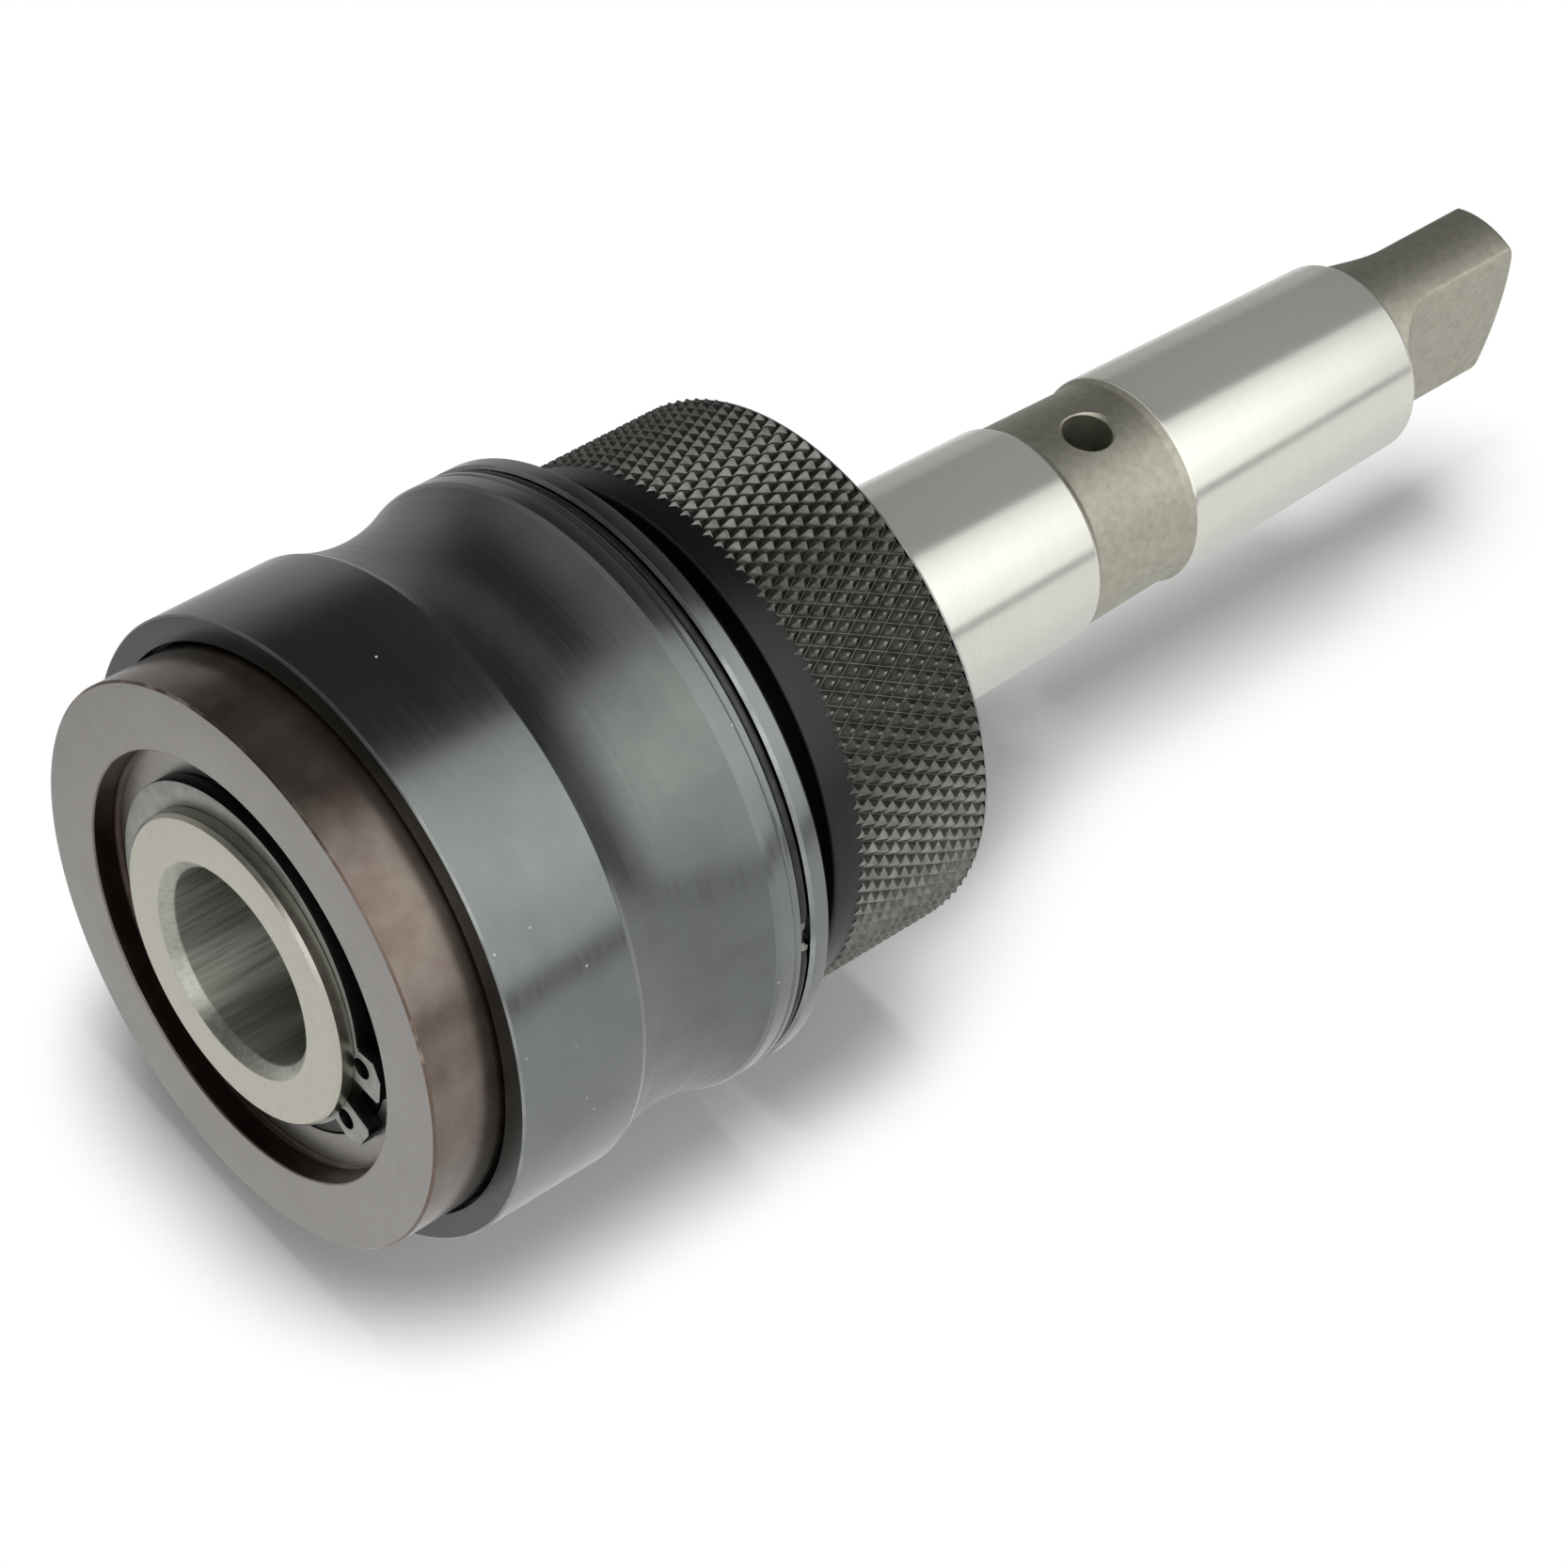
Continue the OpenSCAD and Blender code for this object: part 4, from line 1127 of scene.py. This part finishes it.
# Least brightness by the same direction: the dark card is short
LEAST_LIGHT = ((0.0, 0.12), (0.24, 0.12), (0.38, 0.55), (0.55, 0.35), (0.65, 0.07), (0.75, 0.07),
               (0.79, 0.24), (0.84, 0.24), (0.9, 0.09), (1.0, 0.09))


# Where the photo's camera stood in metres, and which ways its right side, its top and its back faced
CAMERA_PLACE = (-0.231264, -0.197288, 0.314262)
CAMERA_RIGHT = (0.74414, -0.65487, 0.13192)
CAMERA_UP = (0.42521, 0.61664, 0.66253)
CAMERA_BACK = (-0.51522, -0.43692, 0.73732)


class ARBOR_OT_stage(bpy.types.Operator):
    """Lay the pale floor with its painted shadow, set the soft lights and the camera"""
    bl_idname = "arbor.stage"
    bl_label = "Stage"

    def execute(self, context):
        sizes = context.scene.stage_sizes
        scene = context.scene
        floor_z = CAD_BOX[0][2] - 0.0001
        mesh = bpy.data.meshes.new("floor")
        reach = 3.0
        mesh.from_pydata([(-reach, -reach, floor_z), (reach, -reach, floor_z), (reach, reach, floor_z),
                          (-reach, reach, floor_z)], [], [(0, 1, 2, 3)])
        floor = bpy.data.objects.new("floor", mesh)
        scene.collection.objects.link(floor)
        colour = tuple(sizes.floor_colour) + (1,)
        paper, tree, shader = new_finish("white_paper")
        settle(shader, {"Base Color": colour, "Roughness": 0.9, "Specular IOR Level": 0.1})
        rays = add(tree, "LightPath").outputs
        mirrored = output(tree, "Math", {0: rays["Is Glossy Ray"], 1: rays["Is Transmission Ray"]},
                          operation="MAXIMUM")
        place = add(tree, "SeparateXYZ", {0: add(tree, "TexCoord").outputs["Object"]})
        # Painted shadow: near the tool the floor shows the grey paper's real shading, and further off it
        # glows white. Its place in metres: half its width, its ends, and how soft it is, wider at the
        # collar
        half = output(tree, "MapRange", {0: place.outputs[0], 1: -0.01, 2: 0.042, 3: 0.0295, 4: 0.0125},
                      interpolation_type="SMOOTHSTEP")
        side = output(tree, "Math", {0: place.outputs[1]}, operation="ABSOLUTE")
        beside = output(tree, "Math", {0: side, 1: half}, operation="SUBTRACT")
        shade_from, shade_to = CAD_BOX[0][0] - 0.0068, CAD_BOX[1][0] + 0.018
        before = output(tree, "Math", {0: shade_from, 1: place.outputs[0]}, operation="SUBTRACT")
        behind = output(tree, "Math", {0: place.outputs[0], 1: shade_to}, operation="SUBTRACT")
        ends = output(tree, "Math", {0: before, 1: behind}, operation="MAXIMUM")
        corner = 0.024
        past = [output(tree, "Math", {0: way, 1: corner}) for way in (beside, ends)]
        parts = [output(tree, "Math", {0: way, 1: 0.0}, operation="MAXIMUM") for way in past]
        rounded = output(tree, "CombineXYZ", {0: parts[0], 1: parts[1]})
        away = add(tree, "VectorMath", {0: rounded}, operation="LENGTH").outputs["Value"]
        inmost = output(tree, "MapRange",
                        {0: place.outputs[0], 1: -0.01, 2: 0.04, 3: corner - 0.009, 4: corner - 0.014})
        beyond_painted_shadow = output(tree, "MapRange", {0: away, 1: inmost, 2: corner + 0.0045, 3: 0.12, 4: 1.0},
                            interpolation_type="SMOOTHSTEP")
        seen = output(tree, "Math", {0: rays["Is Camera Ray"], 1: beyond_painted_shadow}, operation="MULTIPLY")
        share = output(tree, "Math", {0: mirrored, 1: 0.85, 2: seen}, operation="MULTIPLY_ADD")
        # Painted shade in what the steel mirrors of the floor: darker far off on the +Y side, and under the
        # tool
        far = output(tree, "MapRange", {0: place.outputs[1], 1: 0.028, 2: 0.11, 3: 0.0, 4: 0.6},
                     interpolation_type="SMOOTHSTEP")
        below = output(tree, "MapRange", {0: beside, 1: -0.015, 2: 0.04, 3: 0.3, 4: 0.0})
        behind_nose = output(tree, "MapRange", {0: place.outputs[0], 1: -0.07, 2: -0.05})
        shaded = output(tree, "Math", {0: below, 1: behind_nose, 2: far}, operation="MULTIPLY_ADD")
        dim = output(tree, "Math", {0: mirrored, 1: shaded}, operation="MULTIPLY")
        level = output(tree, "Math", {0: 1.0, 1: dim}, operation="SUBTRACT")
        glow = add(tree, "Emission", {"Color": (1, 1, 1, 1), "Strength": level})
        both = add(tree, "MixShader", {0: share, 1: shader.outputs[0], 2: glow.outputs[0]})
        tree.links.new(both.outputs[0], tree.nodes["Material Output"].inputs["Surface"])
        mesh.materials.append(paper)

        world = bpy.data.worlds.new("studio")
        scene.world = world
        world.use_nodes = True
        tree = world.node_tree
        way = add(tree, "SeparateXYZ", {0: add(tree, "TexCoord").outputs["Generated"]}).outputs
        turn = output(tree, "Math", {0: way[2], 1: way[1]}, operation="ARCTAN2")
        around = output(tree, "Math", {0: turn, 1: math.pi}, operation="DIVIDE")

        def light_ramp(value, stops):
            """Brightness of the studio by one direction, as a share of its brightest part."""
            ramp = add(tree, "ValToRGB", {0: value})
            marks = ramp.color_ramp.elements
            for k, (at, level) in enumerate(stops):
                mark = marks[k] if k < 2 else marks.new(1.0)
                mark.position = at
                mark.color = (level / PEAK, level / PEAK, level / PEAK, 1)
            return ramp.outputs[0]

        by_turn = light_ramp(around, ROUND_LIGHT)
        length_way = output(tree, "MapRange", {0: way[0], 1: -1.0, 2: 1.0, 3: 0.0, 4: 1.0})
        boxed = add(tree, "Mix", {"Factor": 1.0, 6: by_turn, 7: light_ramp(length_way, BOX_ENDS)},
                    data_type="RGBA", blend_type="MULTIPLY").outputs[2]
        least = light_ramp(length_way, LEAST_LIGHT)
        room = add(tree, "Mix", {"Factor": 1.0, 6: boxed, 7: least}, data_type="RGBA",
                   blend_type="LIGHTEN").outputs[2]
        white = output(tree, "Background", {"Color": (1, 1, 1, 1), "Strength": 1.0})
        back = tree.nodes["Background"]
        tree.links.new(room, back.inputs["Color"])
        rays = add(tree, "LightPath").outputs
        tree.links.new(output(tree, "MapRange", {0: rays["Is Diffuse Ray"], 3: PEAK, 4: PEAK * 0.46}),
                       back.inputs["Strength"])
        shown = add(tree, "MixShader", {0: rays["Is Camera Ray"], 1: back.outputs[0], 2: white})
        tree.links.new(shown.outputs[0], tree.nodes["World Output"].inputs["Surface"])

        key = card("key", (-0.02, 0.08, 1.0), (0.01, 0, 0), 0.26, 0.26, 6.4)
        key.visible_glossy = False

        camera = bpy.data.cameras.new("camera")
        camera.sensor_width = 36
        camera.lens = sizes.lens
        camera.clip_start = 0.01
        holder = bpy.data.objects.new("camera", camera)
        turn = Matrix((CAMERA_RIGHT, CAMERA_UP, CAMERA_BACK)).transposed()
        holder.matrix_world = Matrix.Translation(CAMERA_PLACE) @ turn.to_4x4()
        scene.collection.objects.link(holder)
        scene.camera = holder
        scene.view_settings.view_transform = "Standard"
        return {"FINISHED"}


# Panel

PIECES = (ARBOR_OT_shank, ARBOR_OT_front_ring, ARBOR_OT_circlip, ARBOR_OT_sleeve, ARBOR_OT_collar,
          ARBOR_OT_springs, ARBOR_OT_lock, ARBOR_OT_stage)
GROUPS = (("arbor_sizes", ArborSizes), ("ring_sizes", RingSizes), ("sleeve_sizes", SleeveSizes),
          ("collar_sizes", CollarSizes),
          ("spring_sizes", SpringSizes), ("stage_sizes", StageSizes))


class ARBOR_PT_panel(bpy.types.Panel):
    """Lists the pieces and their sizes in the sidebar"""
    bl_label = "Arbor"
    bl_idname = "ARBOR_PT_panel"
    bl_space_type = "VIEW_3D"
    bl_region_type = "UI"
    bl_category = "Arbor"

    def draw(self, context):
        for piece in PIECES:
            self.layout.operator(piece.bl_idname)
        for attribute, group in GROUPS:
            box = self.layout.box()
            for key in group.__annotations__:
                box.prop(getattr(context.scene, attribute), key)


def register():
    for attribute, group in GROUPS:
        bpy.utils.register_class(group)
        setattr(bpy.types.Scene, attribute, bpy.props.PointerProperty(type=group))
    for kind in PIECES + (ARBOR_PT_panel,):
        bpy.utils.register_class(kind)


def unregister():
    for kind in reversed(PIECES + (ARBOR_PT_panel,)):
        bpy.utils.unregister_class(kind)
    for attribute, group in reversed(GROUPS):
        delattr(bpy.types.Scene, attribute)
        bpy.utils.unregister_class(group)


def main():
    register()
    for piece in PIECES:
        family, action = piece.bl_idname.split(".")
        getattr(getattr(bpy.ops, family), action)()
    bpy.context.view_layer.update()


if __name__ == "__main__":
    main()
